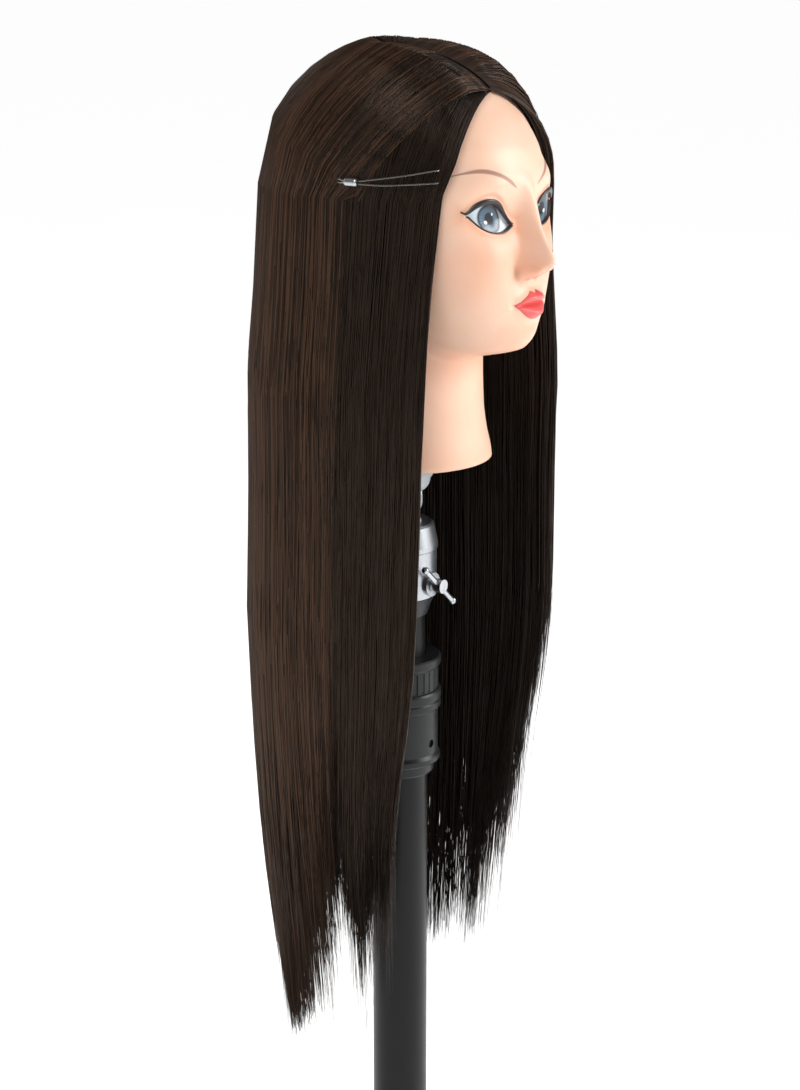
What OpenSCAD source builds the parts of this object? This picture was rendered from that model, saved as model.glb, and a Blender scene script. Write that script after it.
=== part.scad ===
// Hairdressing training head with long straight hair, on a telescopic tripod stand.
// The face looks along -Y, +Z is up, and the origin is on the floor under the pole's axis.

/* [Head] */
// Height of the highest point of the hair above the floor
total_h = 1000; // [960:1:1060]
// Height of the hair's top above the neck's lower rim
head_h = 286; // [280:1:292]
// Half width of the skull over the ears
skull_a = 75; // [74:0.5:76]
// Half depth of the skull
skull_b = 92; // [91:0.5:93]
// Radius of the neck at its narrowest
neck_r = 54; // [53:0.5:55]
// Radius of the neck's lower rim
neck_rim_r = 60; // [59:0.5:61]
// Thickness of the soft vinyl skin
skin_t = 4; // [3:0.5:5]
// Radius of each eye insert
eye_r = 13; // [12:0.5:13]
// Distance of each eye's centre from the face's middle
eye_x = 28; // [27:0.5:29]

/* [Hair] */
// Half width of the hair over the ears
hair_a = 88; // [87:0.5:90]
// Half depth of the hair over the crown
hair_b = 108; // [106:0.5:110]
// Half width of the hanging hair
hang_a = 100; // [98:0.5:102]
// Half depth of the hanging hair
hang_b = 117; // [115:0.5:119]
// Height of the hair's blunt lower edge above the floor
hair_low_z = 345; // [330:5:380]
// Half width of the parting
parting_g = 1.6; // [1:0.1:2.5]
// Diameter of the elastic band
elastic_d = 1; // [0.8:0.1:1.2]

/* [Stand] */
// Diameter of the lower tube
outer_d = 40; // [39.6:0.1:40.4]
// Diameter of the sliding upper tube
inner_d = 36; // [35.8:0.1:36.2]
// Wall of both tubes
tube_wall = 1.5; // [1.3:0.1:1.6]
// Diameter of the swivel stem
stem_d = 22; // [21:0.5:23]
// Diameter of the tilt bolt
bolt_d = 8; // [7:0.5:8]
// Length of the T-bar
tbar_l = 46; // [40:1:50]
// Downward slope of the T-bar
tbar_slope = 42; // [35:1:48]

/* [Tripod] */
// Distance of each foot's centre from the pole's axis
foot_reach = 300; // [280:5:320]
// Height of the leg pivots
pivot_z = 118; // [112:1:124]
// Distance of the leg pivots from the pole's axis
pivot_r = 42; // [41:0.5:43]
// Diameter of the leg tubes
leg_d = 19; // [18:0.5:20]
// Radius of each rubber foot
foot_r = 15; // [13:0.5:16]

/* [Hidden] */

run = 0.06;           // radial running clearance of a shaft
seat = 0.1;           // gap between two pieces that only touch
eps = 0.01;

// Heights that follow from the total height and the head's height
rim_z = total_h - head_h;         // neck's lower rim
mid_z = total_h - 100;            // widest level of the skull and the hair's crown
tilt_z = rim_z - 37;              // tilt bolt
socket_z = rim_z - 103;           // lower face of the swivel socket
socket_top_z = rim_z - 49.6;
cap_z = rim_z - 117;              // lower face of the tube cap
nut_top_z = rim_z - 148;
nut_z = rim_z - 180.5;
collar_z = rim_z - 236;
screw_z = socket_z + 11;          // clamp screw
outer_top_z = rim_z - 191;
outer_low_z = 62;
inner_low_z = 115;
head_y = -5;                      // middle of the skull and neck
hair_y = -6.6;                    // middle of the hair
skull_h = 90;
hair_h = 100;

// ---- General shapes -------------------------------------------------------

// Smooth step from 0 at a to 1 at b
function ramp(a, b, x) = let (t = min(1, max(0, (x - a) / (b - a)))) t * t * (3 - 2 * t);
function bell(x, w) = exp(-(x / w) * (x / w));

// Quads of one sheet of n rows by m points, as triangles; turned decides which side is outside
function sheet_faces(n, m, start, turned, closed) = [
    for (i = [0:n - 2], j = [0:m - (closed ? 1 : 2)], half = [0, 1])
        let (k = (j + 1) % m,
             q = half == 0 ? [i * m + j, (i + 1) * m + j, (i + 1) * m + k]
                 : [i * m + j, (i + 1) * m + k, i * m + k],
             f = turned ? [q[2], q[1], q[0]] : q)
        [for (v = f) v + start]];

// Triangles between two equal lists of point numbers
function strip(a, b) = [
    for (i = [0:len(a) - 2], half = [0, 1])
        half == 0 ? [a[i], b[i], b[i + 1]] : [a[i], b[i + 1], a[i + 1]]];

function flat(rows) = [for (r = rows, p = r) p];

// Closed slab between an outer and an inner sheet, each a list of rows, open at all four edges
module slab(outer, inner) {
    n = len(outer);
    m = len(outer[0]);
    s = n * m;
    top = [for (j = [0:m - 1]) j];
    low = [for (j = [0:m - 1]) (n - 1) * m + j];
    first = [for (i = [0:n - 1]) i * m];
    last = [for (i = [0:n - 1]) i * m + m - 1];
    polyhedron(concat(flat(outer), flat(inner)),
        concat(sheet_faces(n, m, 0, false, false), sheet_faces(n, m, s, true, false),
            strip([for (v = top) v + s], top), strip(low, [for (v = low) v + s]),
            strip(first, [for (v = first) v + s]), strip([for (v = last) v + s], last)));
}

// Closed cup between an outer and an inner sheet of closed rows, both shut at the top row's middle
module cup(outer, inner, outer_top, inner_top) {
    n = len(outer);
    m = len(outer[0]);
    s = n * m;
    low = [for (j = [0:m]) (n - 1) * m + j % m];
    polyhedron(concat(flat(outer), flat(inner), [outer_top, inner_top]),
        concat(sheet_faces(n, m, 0, false, true), sheet_faces(n, m, s, true, true),
            [for (j = [0:m - 1]) [2 * s, j, (j + 1) % m]],
            [for (j = [0:m - 1]) [2 * s + 1, s + (j + 1) % m, s + j]],
            strip(low, [for (v = low) v + s])));
}

// Closed body of closed rows, shut at the middles of its top and bottom rows
module stack(rows, top, low) {
    n = len(rows);
    m = len(rows[0]);
    s = n * m;
    polyhedron(concat(flat(rows), [top, low]),
        concat(sheet_faces(n, m, 0, false, true),
            [for (j = [0:m - 1]) [s, j, (j + 1) % m]],
            [for (j = [0:m - 1]) [s + 1, (n - 1) * m + (j + 1) % m, (n - 1) * m + j]]));
}

// ---- Head -----------------------------------------------------------------

// Rows of the head by height above the rim: half width, reach to the front, reach to the back
head_rows = [
    [274, 15, 18, 19], [270, 26, 32, 33], [262, 39.5, 48, 49], [250, 52, 66, 65], [234, 63, 80, 78],
    [214, 71, 89, 88], [194, 74.7, 91.5, 92], [174, 74.5, 89, 92], [155, 72, 88, 88], [140, 69.5, 92, 82],
    [130, 67, 97, 77], [120, 63.5, 102, 72], [108, 59.5, 102, 66], [97, 55, 103, 61], [88, 52, 102, 58],
    [81, 50, 93, 56.5], [76, 50.5, 76, 56], [71, 52, 60, 55], [62, 53.5, 54.5, 54.5],
    [46, neck_r, neck_r, neck_r],
    [30, neck_r + 0.5, neck_r + 0.5, neck_r + 0.5], [16, 57, 57, 57],
    [6, neck_rim_r - 0.5, neck_rim_r - 0.5, neck_rim_r - 0.5], [0, neck_rim_r, neck_rim_r, neck_rim_r]];

// Nose, by width and height above the rim
nose_out = 22;
function nose(x, h) = nose_out * bell(x, 8.5) * ramp(176, 146, h) * ramp(130, 138, h);

// One row of the head, moved in by t
function head_row(r, t) = [
    for (i = [0:31])
        let (q = 360 * i / 32, x = (r[1] * skull_a / 75 - t) * cos(q), front = sin(q) < 0,
             y = (front ? r[2] - t : r[3] - t) * sin(q))
        [x, head_y + y - (front ? nose(x, r[0]) : 0), rim_z + r[0]]];

module head_shell() {
    color("peachpuff") {
        outer = [for (r = head_rows) head_row(r, 0)];
        inner = [for (r = head_rows)
            [for (p = head_row(r, skin_t)) p - [0, 0, r[0] > 250 ? skin_t * (r[0] - 250) / 24 : 0]]];
        cup(outer, inner, [0, head_y, rim_z + 276], [0, head_y, rim_z + 271]);
    }
}

module foam_core() {
    color("gainsboro") {
        rows = [for (r = head_rows) if (r[0] > 95 && r[0] < 268)
            head_row(r, skin_t + (r[0] > 240 ? 5 : 1.5))];
        stack(rows, [0, head_y, rim_z + 264], [0, head_y, rim_z + 95]);
    }
}

socket_l = 88;        // depth of the tapered hole
taper_r1 = 15.5;      // spigot radius at the flange
taper_r2 = 11;        // spigot radius at its tip
plug_t = 8;

module neck_plug() {
    color("dimgray") difference() {
        translate([0, head_y, rim_z]) cylinder(r = neck_rim_r - skin_t - 1.6, h = plug_t, $fn = 96);
        translate([0, 0, rim_z - eps]) cylinder(r = taper_r1 + 0.4, h = plug_t + 1, $fn = 64);
    }
}

module neck_socket() {
    color("darkgray") translate([0, 0, rim_z + plug_t + seat]) difference() {
        union() {
            cylinder(r = 19.5, h = socket_l + 4 - plug_t, $fn = 64);
            cylinder(r = 27, h = 4, $fn = 64);
        }
        translate([0, 0, -eps])
            cylinder(r1 = taper_r1 - 0.3, r2 = taper_r2 + 0.05, h = socket_l - plug_t, $fn = 64);
    }
}

module eye(side) {
    color("white") translate([side * eye_x, head_y - 71, rim_z + 172]) sphere(r = eye_r, $fn = 48);
}

// ---- Hair -----------------------------------------------------------------

// Half width, half depth of the hair by height
function hang(z) = let (
    k = lookup(z, [[hair_low_z - 60, 0.74], [400, 0.84], [460, 0.94], [520, 0.99], [700, 1]]),
    s = ramp(mid_z, mid_z - 150, z))
    [(hair_a + (hang_a - hair_a) * s) * k, (hair_b + (hang_b - hair_b) * s) * k];

front_q = 40;         // direction of the hair's front edges, from the side towards the front
side_q = -35;         // direction where the side hair meets the back hair
root_front = -0.68;   // front end of the parting, as a share of the half depth
root_back = 0.05;

// Where a lock that hangs in direction q starts on the parting, as a share of the half depth
function root(q) = q < side_q ? root_back + (side_q - q) * 0.0015
    : root_back + (root_front - root_back) * (q - side_q) / (front_q - side_q);

// Point on the crown, for a lock that hangs in direction q, from 0 at the parting to 90 at the widest level
function crown_point(q, s, a, b, h) =
    let (x = cos(q) * sin(s), y = root(q) + (-sin(q) - root(q)) * (1 - cos(s)),
         z = sqrt(max(0, 1 - x * x - y * y)))
    [-(parting_g * cos(s) + a * x), hair_y + b * y, mid_z + h * z];

function hang_point(q, z, t) = let (d = hang(z)) [-(d[0] - t) * cos(q), hair_y - (d[1] - t) * sin(q), z];

// Thickness of the hanging hair by height
function thick(z) = lookup(z, [[hair_low_z, 9], [450, 18], [700, 20], [mid_z - 40, 16], [mid_z, 10.5]]);

hang_zs = [mid_z - 25, mid_z - 60, mid_z - 110, mid_z - 170, 640, 560, 500, 450, 400, hair_low_z];
crown_ss = [0, 12, 25, 38, 52, 66, 79, 90];

function lock_rows(qs, outer) = concat(
    [for (s = crown_ss) [for (q = qs) outer ? crown_point(q, s, hair_a, hair_b, hair_h)
        : crown_point(q, s, skull_a + 2.5, skull_b + 4.5, skull_h + 3)]],
    [for (z = hang_zs) [for (q = qs) hang_point(q, z, outer ? 0 : thick(z))]]);

module hair_right() {
    qs = [for (i = [0:10]) front_q + (side_q + 0.3 - front_q) * i / 10];
    color([0.16, 0.11, 0.09]) slab(lock_rows(qs, true), lock_rows(qs, false));
}

module hair_left() { color([0.16, 0.11, 0.09]) mirror([1, 0, 0]) hair_right(); }

// The back hair is one sheet from side to side, so each row runs through its middle
module hair_back() {
    qs = [for (i = [0:8]) side_q + (-90 - side_q) * i / 8];
    function whole(rows) = [for (r = rows)
        concat([for (i = [0:7]) r[i]], [[0, r[8][1], r[8][2]]],
            [for (i = [7:-1:0]) [-r[i][0], r[i][1], r[i][2]]])];
    color([0.15, 0.1, 0.08]) slab(whole(lock_rows(qs, true)), whole(lock_rows(qs, false)));
}

// Rooted scalp: a dome between the hairline and the nape
function scalp_edge(q) = lookup(abs((q + 360) % 360 - 180),
    [[0, 118], [60, 112], [110, 96], [140, 84], [165, 58], [180, 47]]);
function scalp_point(q, s, t) = let (e = scalp_edge(q) * s)
    [(skull_a + t) * sin(e) * sin(q), head_y - (skull_b + t) * sin(e) * cos(q),
     mid_z + (skull_h + t) * (e > 90 ? cos(e) * 0.9 : cos(e))];

module scalp_cap() {
    qs = [for (i = [0:35]) i * 10];
    ss = [0.12, 0.3, 0.5, 0.7, 0.85, 1];
    color([0.32, 0.27, 0.25]) mirror([1, 0, 0]) cup([for (s = ss) [for (q = qs) scalp_point(q, s, 2.2)]],
        [for (s = ss) [for (q = qs) scalp_point(q, s, 0.7)]],
        [0, head_y, mid_z + skull_h + 2.2], [0, head_y, mid_z + skull_h + 0.7]);
}

// ---- Elastic band ---------------------------------------------------------

// Half of the band's closed route: from behind, along the lower run to the temple, where it turns back
// under the front hair, then along the upper run through the crimp again and round the back
band_half = [[0, 94, -2], [24, 91, -2], [46, 82, -2], [64, 66, -2], [76, 45, -2], [81.2, 22, -2], [83, 6, -2],
    [85.2, -8, -1.6], [88.4, -18, -0.6], [88.6, -24, -0.6], [88, -30, -0.8], [84.6, -46, -1], [78, -62, 0],
    [71.5, -71.5, 0.6], [67, -75.6, 0.9], [64, -75, 1.6], [62.8, -72.5, 4], [62.8, -72.5, 6.4], [64, -75, 8.2],
    [67, -75.6, 8.7], [71.5, -71.5, 8], [78, -62, 6], [84.6, -46, 3.4], [88, -30, 1], [88.6, -24, 0.6],
    [88.4, -18, 0.6], [85.2, -8, 1.6], [83, 6, 2], [81.2, 22, 2], [76, 45, 2], [64, 66, 2], [46, 82, 2],
    [24, 91, 2]];
band_z = rim_z + 198;
band_turns = len(band_half);
band_path = concat([for (p = band_half) [p[0], p[1], band_z + p[2]]], [[0, 94, band_z + 2]],
    [for (i = [band_turns - 1:-1:1]) [-band_half[i][0], band_half[i][1], band_z + band_half[i][2]]]);

// Round tube through a closed list of points
module loop_tube(path, d, sides) {
    n = len(path);
    rings = [for (i = [0:n - 1])
        let (p = path[i], t = path[(i + 1) % n] - path[(i + n - 1) % n], u = t / norm(t),
             w = cross(u, [0.02, 0.01, 1]) / norm(cross(u, [0.02, 0.01, 1])), up = cross(w, u))
        [for (k = [0:sides - 1]) p + d / 2 * (cos(360 * k / sides) * w + sin(360 * k / sides) * up)]];
    polyhedron(flat(rings),
        [for (i = [0:n - 1], k = [0:sides - 1], half = [0, 1])
            let (j = (i + 1) % n, m = (k + 1) % sides)
            half == 0 ? [i * sides + k, j * sides + m, j * sides + k]
                : [i * sides + k, i * sides + m, j * sides + m]]);
}

module elastic_band() { color("dimgray") loop_tube(band_path, elastic_d, 8); }

module elastic_crimp() {
    color("silver") translate([-88.4, -24, band_z]) rotate([90, 0, 0]) difference() {
        union() {
            cylinder(r = 2.8, h = 6, center = true, $fn = 32);
            for (k = [-1, 1]) translate([0, 0, k * 3]) sphere(r = 2.8, $fn = 32);
        }
        cylinder(r = 1.9, h = 20, center = true, $fn = 32);
    }
}

// ---- Tilt head ------------------------------------------------------------

ear_in = 7.3;         // inner face of each fork ear
ear_t = 6;
ear_r = 10;
flange_r = 24;

module spigot() {
    color("whitesmoke") difference() {
        union() {
            rotate_extrude($fn = 96) polygon([[0, rim_z - seat], [flange_r, rim_z - seat],
                [flange_r, rim_z - 13], [flange_r - 1.2, rim_z - 16], [0, rim_z - 16]]);
            translate([0, 0, rim_z - seat - eps])
                cylinder(r1 = taper_r1 - 0.35, r2 = taper_r2, h = socket_l - 4, $fn = 64);
            translate([0, 0, rim_z + socket_l - 4.2])
                cylinder(r1 = taper_r2, r2 = taper_r2 - 3, h = 3, $fn = 64);
        }
        for (k = [0, 180]) rotate([0, 0, k]) translate([0, 15, rim_z - 17])
            cylinder(r = 2.1, h = 12, $fn = 32);
    }
}

module tilt_fork() {
    color("silver") difference() {
        union() {
            rotate_extrude($fn = 96) polygon([[0, rim_z - 16 - seat], [22, rim_z - 16 - seat],
                [20.5, rim_z - 22], [18.5, rim_z - 25], [0, rim_z - 25]]);
            for (k = [-1, 1]) {
                translate([k > 0 ? ear_in : -ear_in - ear_t, -ear_r, tilt_z]) cube([ear_t, 2 * ear_r, 13]);
                translate([k > 0 ? ear_in : -ear_in - ear_t, 0, tilt_z]) rotate([0, 90, 0])
                    cylinder(r = ear_r, h = ear_t, $fn = 64);
            }
        }
        translate([0, 0, tilt_z]) rotate([0, 90, 0])
            cylinder(r = bolt_d / 2 + 0.02, h = 60, center = true, $fn = 48);
        for (k = [0, 180]) rotate([0, 0, k]) translate([0, 15, rim_z - 30]) cylinder(r = 2.3, h = 20, $fn = 32);
    }
}

module fork_screws() {
    color("dimgray") for (k = [0, 180]) rotate([0, 0, k]) translate([0, 15, rim_z - 25]) {
        cylinder(r = 2, h = 19, $fn = 32);
        translate([0, 0, -2.6 - seat]) difference() {
            cylinder(r = 3.8, h = 2.6, $fn = 32);
            translate([0, 0, -1]) cylinder(r = 1.7, h = 2.4, $fn = 6);
        }
        translate([0, 0, -seat - 0.05]) cylinder(r = 2, h = 0.3, $fn = 32);
    }
}

module tilt_bolt() {
    color("gray") translate([0, 0, tilt_z]) rotate([0, 90, 0]) {
        translate([0, 0, -20]) cylinder(r = bolt_d / 2, h = 33.4, $fn = 48);
        translate([0, 0, ear_in + ear_t + seat]) difference() {
            cylinder(r = 6.6, h = 5, $fn = 48);
            translate([0, 0, 2.4]) cylinder(r = 3, h = 4, $fn = 6);
        }
    }
}

module tilt_nut() {
    color("silver") translate([-ear_in - ear_t - seat, 0, tilt_z]) rotate([0, -90, 0]) difference() {
        union() {
            cylinder(r = 7.4, h = 5.6, $fn = 6);
            cylinder(r = 8.4, h = 1.2, $fn = 48);
        }
        translate([0, 0, -1]) cylinder(r = bolt_d / 2 + 0.05, h = 12, $fn = 48);
    }
}

tongue_w = 14;
module swivel_stem() {
    color("lightgray") difference() {
        union() {
            translate([0, 0, socket_z + 3])
                cylinder(r = stem_d / 2, h = socket_top_z - socket_z - 1, $fn = 64);
            translate([-tongue_w / 2, -10, socket_top_z + 1]) cube([tongue_w, 20, tilt_z - socket_top_z - 1]);
            translate([0, 0, tilt_z]) rotate([0, 90, 0])
                cylinder(r = 10, h = tongue_w, center = true, $fn = 64);
        }
        translate([0, 0, tilt_z]) rotate([0, 90, 0])
            cylinder(r = bolt_d / 2 + run, h = tongue_w + 2, center = true, $fn = 48);
    }
}

module stem_washer() {
    color("white") translate([0, 0, socket_top_z + seat]) difference() {
        cylinder(r = 15, h = 0.8, $fn = 64);
        translate([0, 0, -1]) cylinder(r = stem_d / 2 + 0.1, h = 3, $fn = 64);
    }
}

socket_r = 26;
module swivel_socket() {
    color("silver") difference() {
        union() {
            rotate_extrude($fn = 96) polygon([[0, socket_z], [socket_r - 1, socket_z], [socket_r, socket_z + 1],
                [socket_r, socket_z + 34], [socket_r + 0.8, socket_z + 34.8], [socket_r + 0.8, socket_z + 38],
                [24, socket_top_z - 1.5], [22.5, socket_top_z], [0, socket_top_z]]);
            translate([0, 0, screw_z]) rotate([90, 0, 0]) cylinder(r = 8.5, h = socket_r + 2.5, $fn = 48);
        }
        translate([0, 0, socket_z + 2]) cylinder(r = stem_d / 2 + run, h = 80, $fn = 64);
        translate([0, 0, screw_z]) rotate([90, 0, 0]) cylinder(r = 4 + run, h = 60, $fn = 48);
        translate([0, 0, screw_z - 30]) cylinder(r = 60, h = 30 - 11.2 + eps, $fn = 64);
    }
}

head_y0 = socket_r + 3;           // near face of the clamp screw's head
bar_at = 4.4;                     // the T-bar's distance from that face
bar_r = 2;
module clamp_screw() {
    color("silver") translate([0, 0, screw_z]) difference() {
        rotate([90, 0, 0]) union() {
            translate([0, 0, stem_d / 2 + 0.1]) cylinder(r = 4, h = head_y0 - stem_d / 2, $fn = 48);
            translate([0, 0, head_y0]) cylinder(r = 5, h = 8.4, $fn = 48);
        }
        translate([0, -head_y0 - bar_at, 0]) rotate([0, 90 + tbar_slope, 0])
            cylinder(r = bar_r + 0.05, h = 30, center = true, $fn = 32);
    }
}

module t_bar() {
    color("silver") translate([0, -head_y0 - bar_at, screw_z]) rotate([0, 90 + tbar_slope, 0]) {
        cylinder(r = bar_r, h = tbar_l, center = true, $fn = 32);
        for (k = [-1, 1]) translate([0, 0, k * tbar_l / 2]) sphere(r = bar_r + 0.7, $fn = 32);
    }
}

// ---- Telescopic pole ------------------------------------------------------

module tube_cap() {
    color([0.12, 0.12, 0.13]) union() {
        rotate_extrude($fn = 96) polygon([[0, cap_z], [inner_d / 2 + 1.5, cap_z], [socket_r - 3, socket_z - 4],
            [socket_r - 1, socket_z - seat], [0, socket_z - seat]]);
        translate([0, 0, cap_z - 20]) cylinder(r = inner_d / 2 - tube_wall - 0.05, h = 20 + eps, $fn = 64);
    }
}

module tube(d, low, high) {
    translate([0, 0, low]) difference() {
        cylinder(r = d / 2, h = high - low, $fn = 96);
        translate([0, 0, -1]) cylinder(r = d / 2 - tube_wall, h = high - low + 2, $fn = 96);
    }
}

module inner_tube() { color([0.1, 0.1, 0.11]) tube(inner_d, inner_low_z, cap_z - seat); }

module guide_plug() {
    color([0.2, 0.2, 0.2]) translate([0, 0, inner_low_z]) {
        translate([0, 0, -8 - seat]) cylinder(r = outer_d / 2 - tube_wall - run, h = 8, $fn = 96);
        translate([0, 0, -seat - eps]) cylinder(r = inner_d / 2 - tube_wall - 0.05, h = 18, $fn = 64);
    }
}

nut_r = 27.5;
module lock_nut() {
    color([0.14, 0.14, 0.15]) difference() {
        rotate_extrude($fn = 96) polygon([[21.2, nut_z], [29.2, nut_z], [29.6, nut_z + 1], [29.6, nut_z + 6],
            [28.6, nut_z + 7.5], [nut_r, nut_z + 8], [nut_r, nut_z + 24], [28.8, nut_z + 25.5],
            [29.3, nut_z + 26.5],
            [29.3, nut_top_z - 1], [28.3, nut_top_z], [inner_d / 2 + 0.6, nut_top_z],
            [inner_d / 2 + 0.6, nut_top_z - 4], [21.2, nut_top_z - 8]]);
        for (i = [0:29]) rotate([0, 0, 12 * i]) translate([nut_r + 0.7, 0, nut_z + 8.6])
            cylinder(r = 1.4, h = 15, $fn = 16);
    }
}

module collet() {
    color([0.85, 0.85, 0.82]) translate([0, 0, outer_top_z + 0.2]) difference() {
        union() {
            cylinder(r = 20.9, h = 30, $fn = 96);
            cylinder(r = 23, h = 6, $fn = 96);
        }
        translate([0, 0, -1]) cylinder(r = inner_d / 2 + run, h = 40, $fn = 96);
        for (k = [0:3]) rotate([0, 0, 45 + 90 * k]) translate([0, -0.8, 10]) cube([30, 1.6, 30]);
    }
}

module collar_body() {
    bore = outer_d / 2 + 0.03;
    color([0.13, 0.13, 0.14]) difference() {
        rotate_extrude($fn = 96) polygon([[bore, collar_z], [24, collar_z], [24.6, collar_z + 1],
            [24.8, collar_z + 7], [28.2, collar_z + 8.5], [29, collar_z + 9.5], [29, collar_z + 13],
            [28, collar_z + 14.5], [27.4, collar_z + 15.5], [27.4, nut_z - 7.5], [28.8, nut_z - 6.5],
            [29.4, nut_z - 5.5], [29.4, nut_z - 1.2], [28.8, nut_z - 0.4], [21.2, nut_z - 0.4],
            [21.2, outer_top_z + 6.6], [23.2, outer_top_z + 6.4], [23.2, outer_top_z], [bore, outer_top_z]]);
        for (i = [0:1]) rotate([0, 0, 90 + 180 * i]) translate([25.4, 0, collar_z + 24]) rotate([0, 90, 0])
            cylinder(r = 3, h = 6, $fn = 32);
    }
}

module outer_tube() { color([0.07, 0.07, 0.08]) tube(outer_d, outer_low_z, outer_top_z - 0.1); }

module bottom_cap() {
    color([0.15, 0.15, 0.15]) {
        translate([0, 0, outer_low_z - 6]) cylinder(r = outer_d / 2 + 1.5, h = 6 - seat, $fn = 96);
        translate([0, 0, outer_low_z - seat - eps])
            cylinder(r = outer_d / 2 - tube_wall - 0.05, h = 14, $fn = 96);
    }
}

// ---- Tripod ---------------------------------------------------------------

leg_azimuths = [-90, 30, 150];    // front, left and right legs
leg_run = foot_reach - pivot_r;
leg_drop = pivot_z - 17;
leg_len = sqrt(leg_run * leg_run + leg_drop * leg_drop);
leg_slope = atan2(leg_drop, leg_run);
ear_gap = 4.3;                    // half the gap between the hub's ears
pin_d = 8;
heel = pivot_r - 27.8;            // the leg's square heel meets the hub's drum when the leg is open

// Puts its children at a leg's pivot, with +X out along the leg's direction
module at_pivot(azimuth) rotate([0, 0, azimuth]) translate([pivot_r, 0, pivot_z]) children();

module leg_hub() {
    color([0.12, 0.12, 0.13]) difference() {
        union() {
            rotate_extrude($fn = 96) polygon([[0, pivot_z - 24], [26, pivot_z - 24], [27.5, pivot_z - 22],
                [27.5, pivot_z + 20], [25.5, pivot_z + 34], [24, pivot_z + 36], [0, pivot_z + 36]]);
            for (a = leg_azimuths) rotate([0, 0, a]) for (k = [-1, 1])
                translate([0, k > 0 ? ear_gap : -ear_gap - 5, 0]) {
                    translate([15, 0, pivot_z - 14]) cube([pivot_r - 15, 5, 28]);
                    translate([pivot_r, 5, pivot_z]) rotate([90, 0, 0]) cylinder(r = 10, h = 5, $fn = 48);
                }
            rotate([0, 0, 90]) translate([0, 0, pivot_z + 16]) rotate([0, 90, 0])
                cylinder(r = 9, h = 33, $fn = 48);
        }
        translate([0, 0, pivot_z - 40]) cylinder(r = outer_d / 2 + 0.03, h = 90, $fn = 96);
        for (a = leg_azimuths) at_pivot(a) rotate([90, 0, 0])
            cylinder(r = pin_d / 2 + 0.02, h = 40, center = true, $fn = 48);
        rotate([0, 0, 90]) translate([0, 0, pivot_z + 16]) rotate([0, 90, 0])
            cylinder(r = 4 + run, h = 60, $fn = 48);
    }
}

module leg_pins() {
    color("silver") for (a = leg_azimuths) at_pivot(a) rotate([90, 0, 0]) {
        cylinder(r = pin_d / 2, h = 2 * (ear_gap + 5) + 1.6, center = true, $fn = 48);
        for (k = [-1, 1]) translate([0, 0, k * (ear_gap + 5 + seat + 0.9)])
            cylinder(r = 6, h = 1.8, center = true, $fn = 48);
    }
}

module leg(azimuth) {
    color([0.07, 0.07, 0.08]) at_pivot(azimuth) rotate([0, leg_slope, 0]) difference() {
        union() {
            translate([0, 4, 0]) rotate([90, 0, 0]) cylinder(r = 9, h = 8, $fn = 48);
            translate([0, -4, -9]) cube([20, 8, 18]);
            rotate([0, -leg_slope, 0]) translate([-heel, -3.9, 0]) cube([heel, 7.8, 7.5]);
            translate([18, 0, 0]) rotate([0, 90, 0]) difference() {
                cylinder(r = leg_d / 2, h = leg_len - 18, $fn = 64);
                translate([0, 0, 6]) cylinder(r = leg_d / 2 - 1.5, h = leg_len, $fn = 64);
            }
        }
        rotate([90, 0, 0]) cylinder(r = pin_d / 2 + run, h = 20, center = true, $fn = 48);
    }
}

module foot(azimuth) {
    color([0.16, 0.16, 0.16]) difference() {
        union() {
            rotate([0, 0, azimuth]) translate([foot_reach + 2, 0, 0])
                cylinder(r1 = foot_r, r2 = foot_r - 1.5, h = 9, $fn = 64);
            at_pivot(azimuth) rotate([0, leg_slope, 0]) translate([leg_len - 34, 0, 0]) rotate([0, 90, 0])
                cylinder(r = leg_d / 2 + 2.5, h = 37, $fn = 64);
        }
        at_pivot(azimuth) rotate([0, leg_slope, 0]) translate([leg_len - 60, 0, 0]) rotate([0, 90, 0])
            cylinder(r = leg_d / 2 + 0.03, h = 60.1, $fn = 64);
        translate([0, 0, -20]) cylinder(r = foot_reach + 60, h = 20, $fn = 64);
    }
}

module hub_screw() {
    color("silver") rotate([0, 0, 90]) translate([0, 0, pivot_z + 16]) rotate([0, 90, 0])
        translate([0, 0, outer_d / 2 + 0.1]) cylinder(r = 4, h = 24, $fn = 48);
}

module hub_knob() {
    color([0.12, 0.12, 0.13]) rotate([0, 0, 90]) translate([34, 0, pivot_z + 16])
        rotate([0, 90, 0]) difference() {
        union() {
            cylinder(r = 9, h = 14, $fn = 48);
            for (i = [0:4]) rotate([0, 0, 72 * i]) translate([9.5, 0, 3]) cylinder(r = 4.6, h = 10, $fn = 32);
        }
        translate([0, 0, -1]) cylinder(r = 4, h = 11.1, $fn = 48);
    }
}

head_shell();
foam_core();
neck_plug();
neck_socket();
scalp_cap();
eye(1);  // eye_left
eye(-1);  // eye_right
hair_left();
hair_right();
hair_back();
elastic_band();
elastic_crimp();
spigot();
tilt_fork();
tilt_bolt();
tilt_nut();
fork_screws();
swivel_stem();
stem_washer();
swivel_socket();
clamp_screw();
t_bar();
tube_cap();
inner_tube();
guide_plug();
lock_nut();
collet();
collar_body();
outer_tube();
bottom_cap();
leg_hub();
hub_screw();
hub_knob();
leg(leg_azimuths[0]);  // leg_front
leg(leg_azimuths[1]);  // leg_left
leg(leg_azimuths[2]);  // leg_right
foot(leg_azimuths[0]);  // foot_front
foot(leg_azimuths[1]);  // foot_left
foot(leg_azimuths[2]);  // foot_right
leg_pins();
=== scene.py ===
"""A hairdresser's training head with long straight hair, on its telescopic tripod stand.

The frame gives every hard part at its place. This script adds what a maker would finish by hand:
the moulded vinyl face with its painted lips, brows and lashes, the glossy eyes, the rooted
scalp, some fourteen thousand strands of hair, the elastic band, and the finish of every part.
Lengths in the shape classes are millimetres above the neck's lower rim; meshes are in metres.
"""

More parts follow.
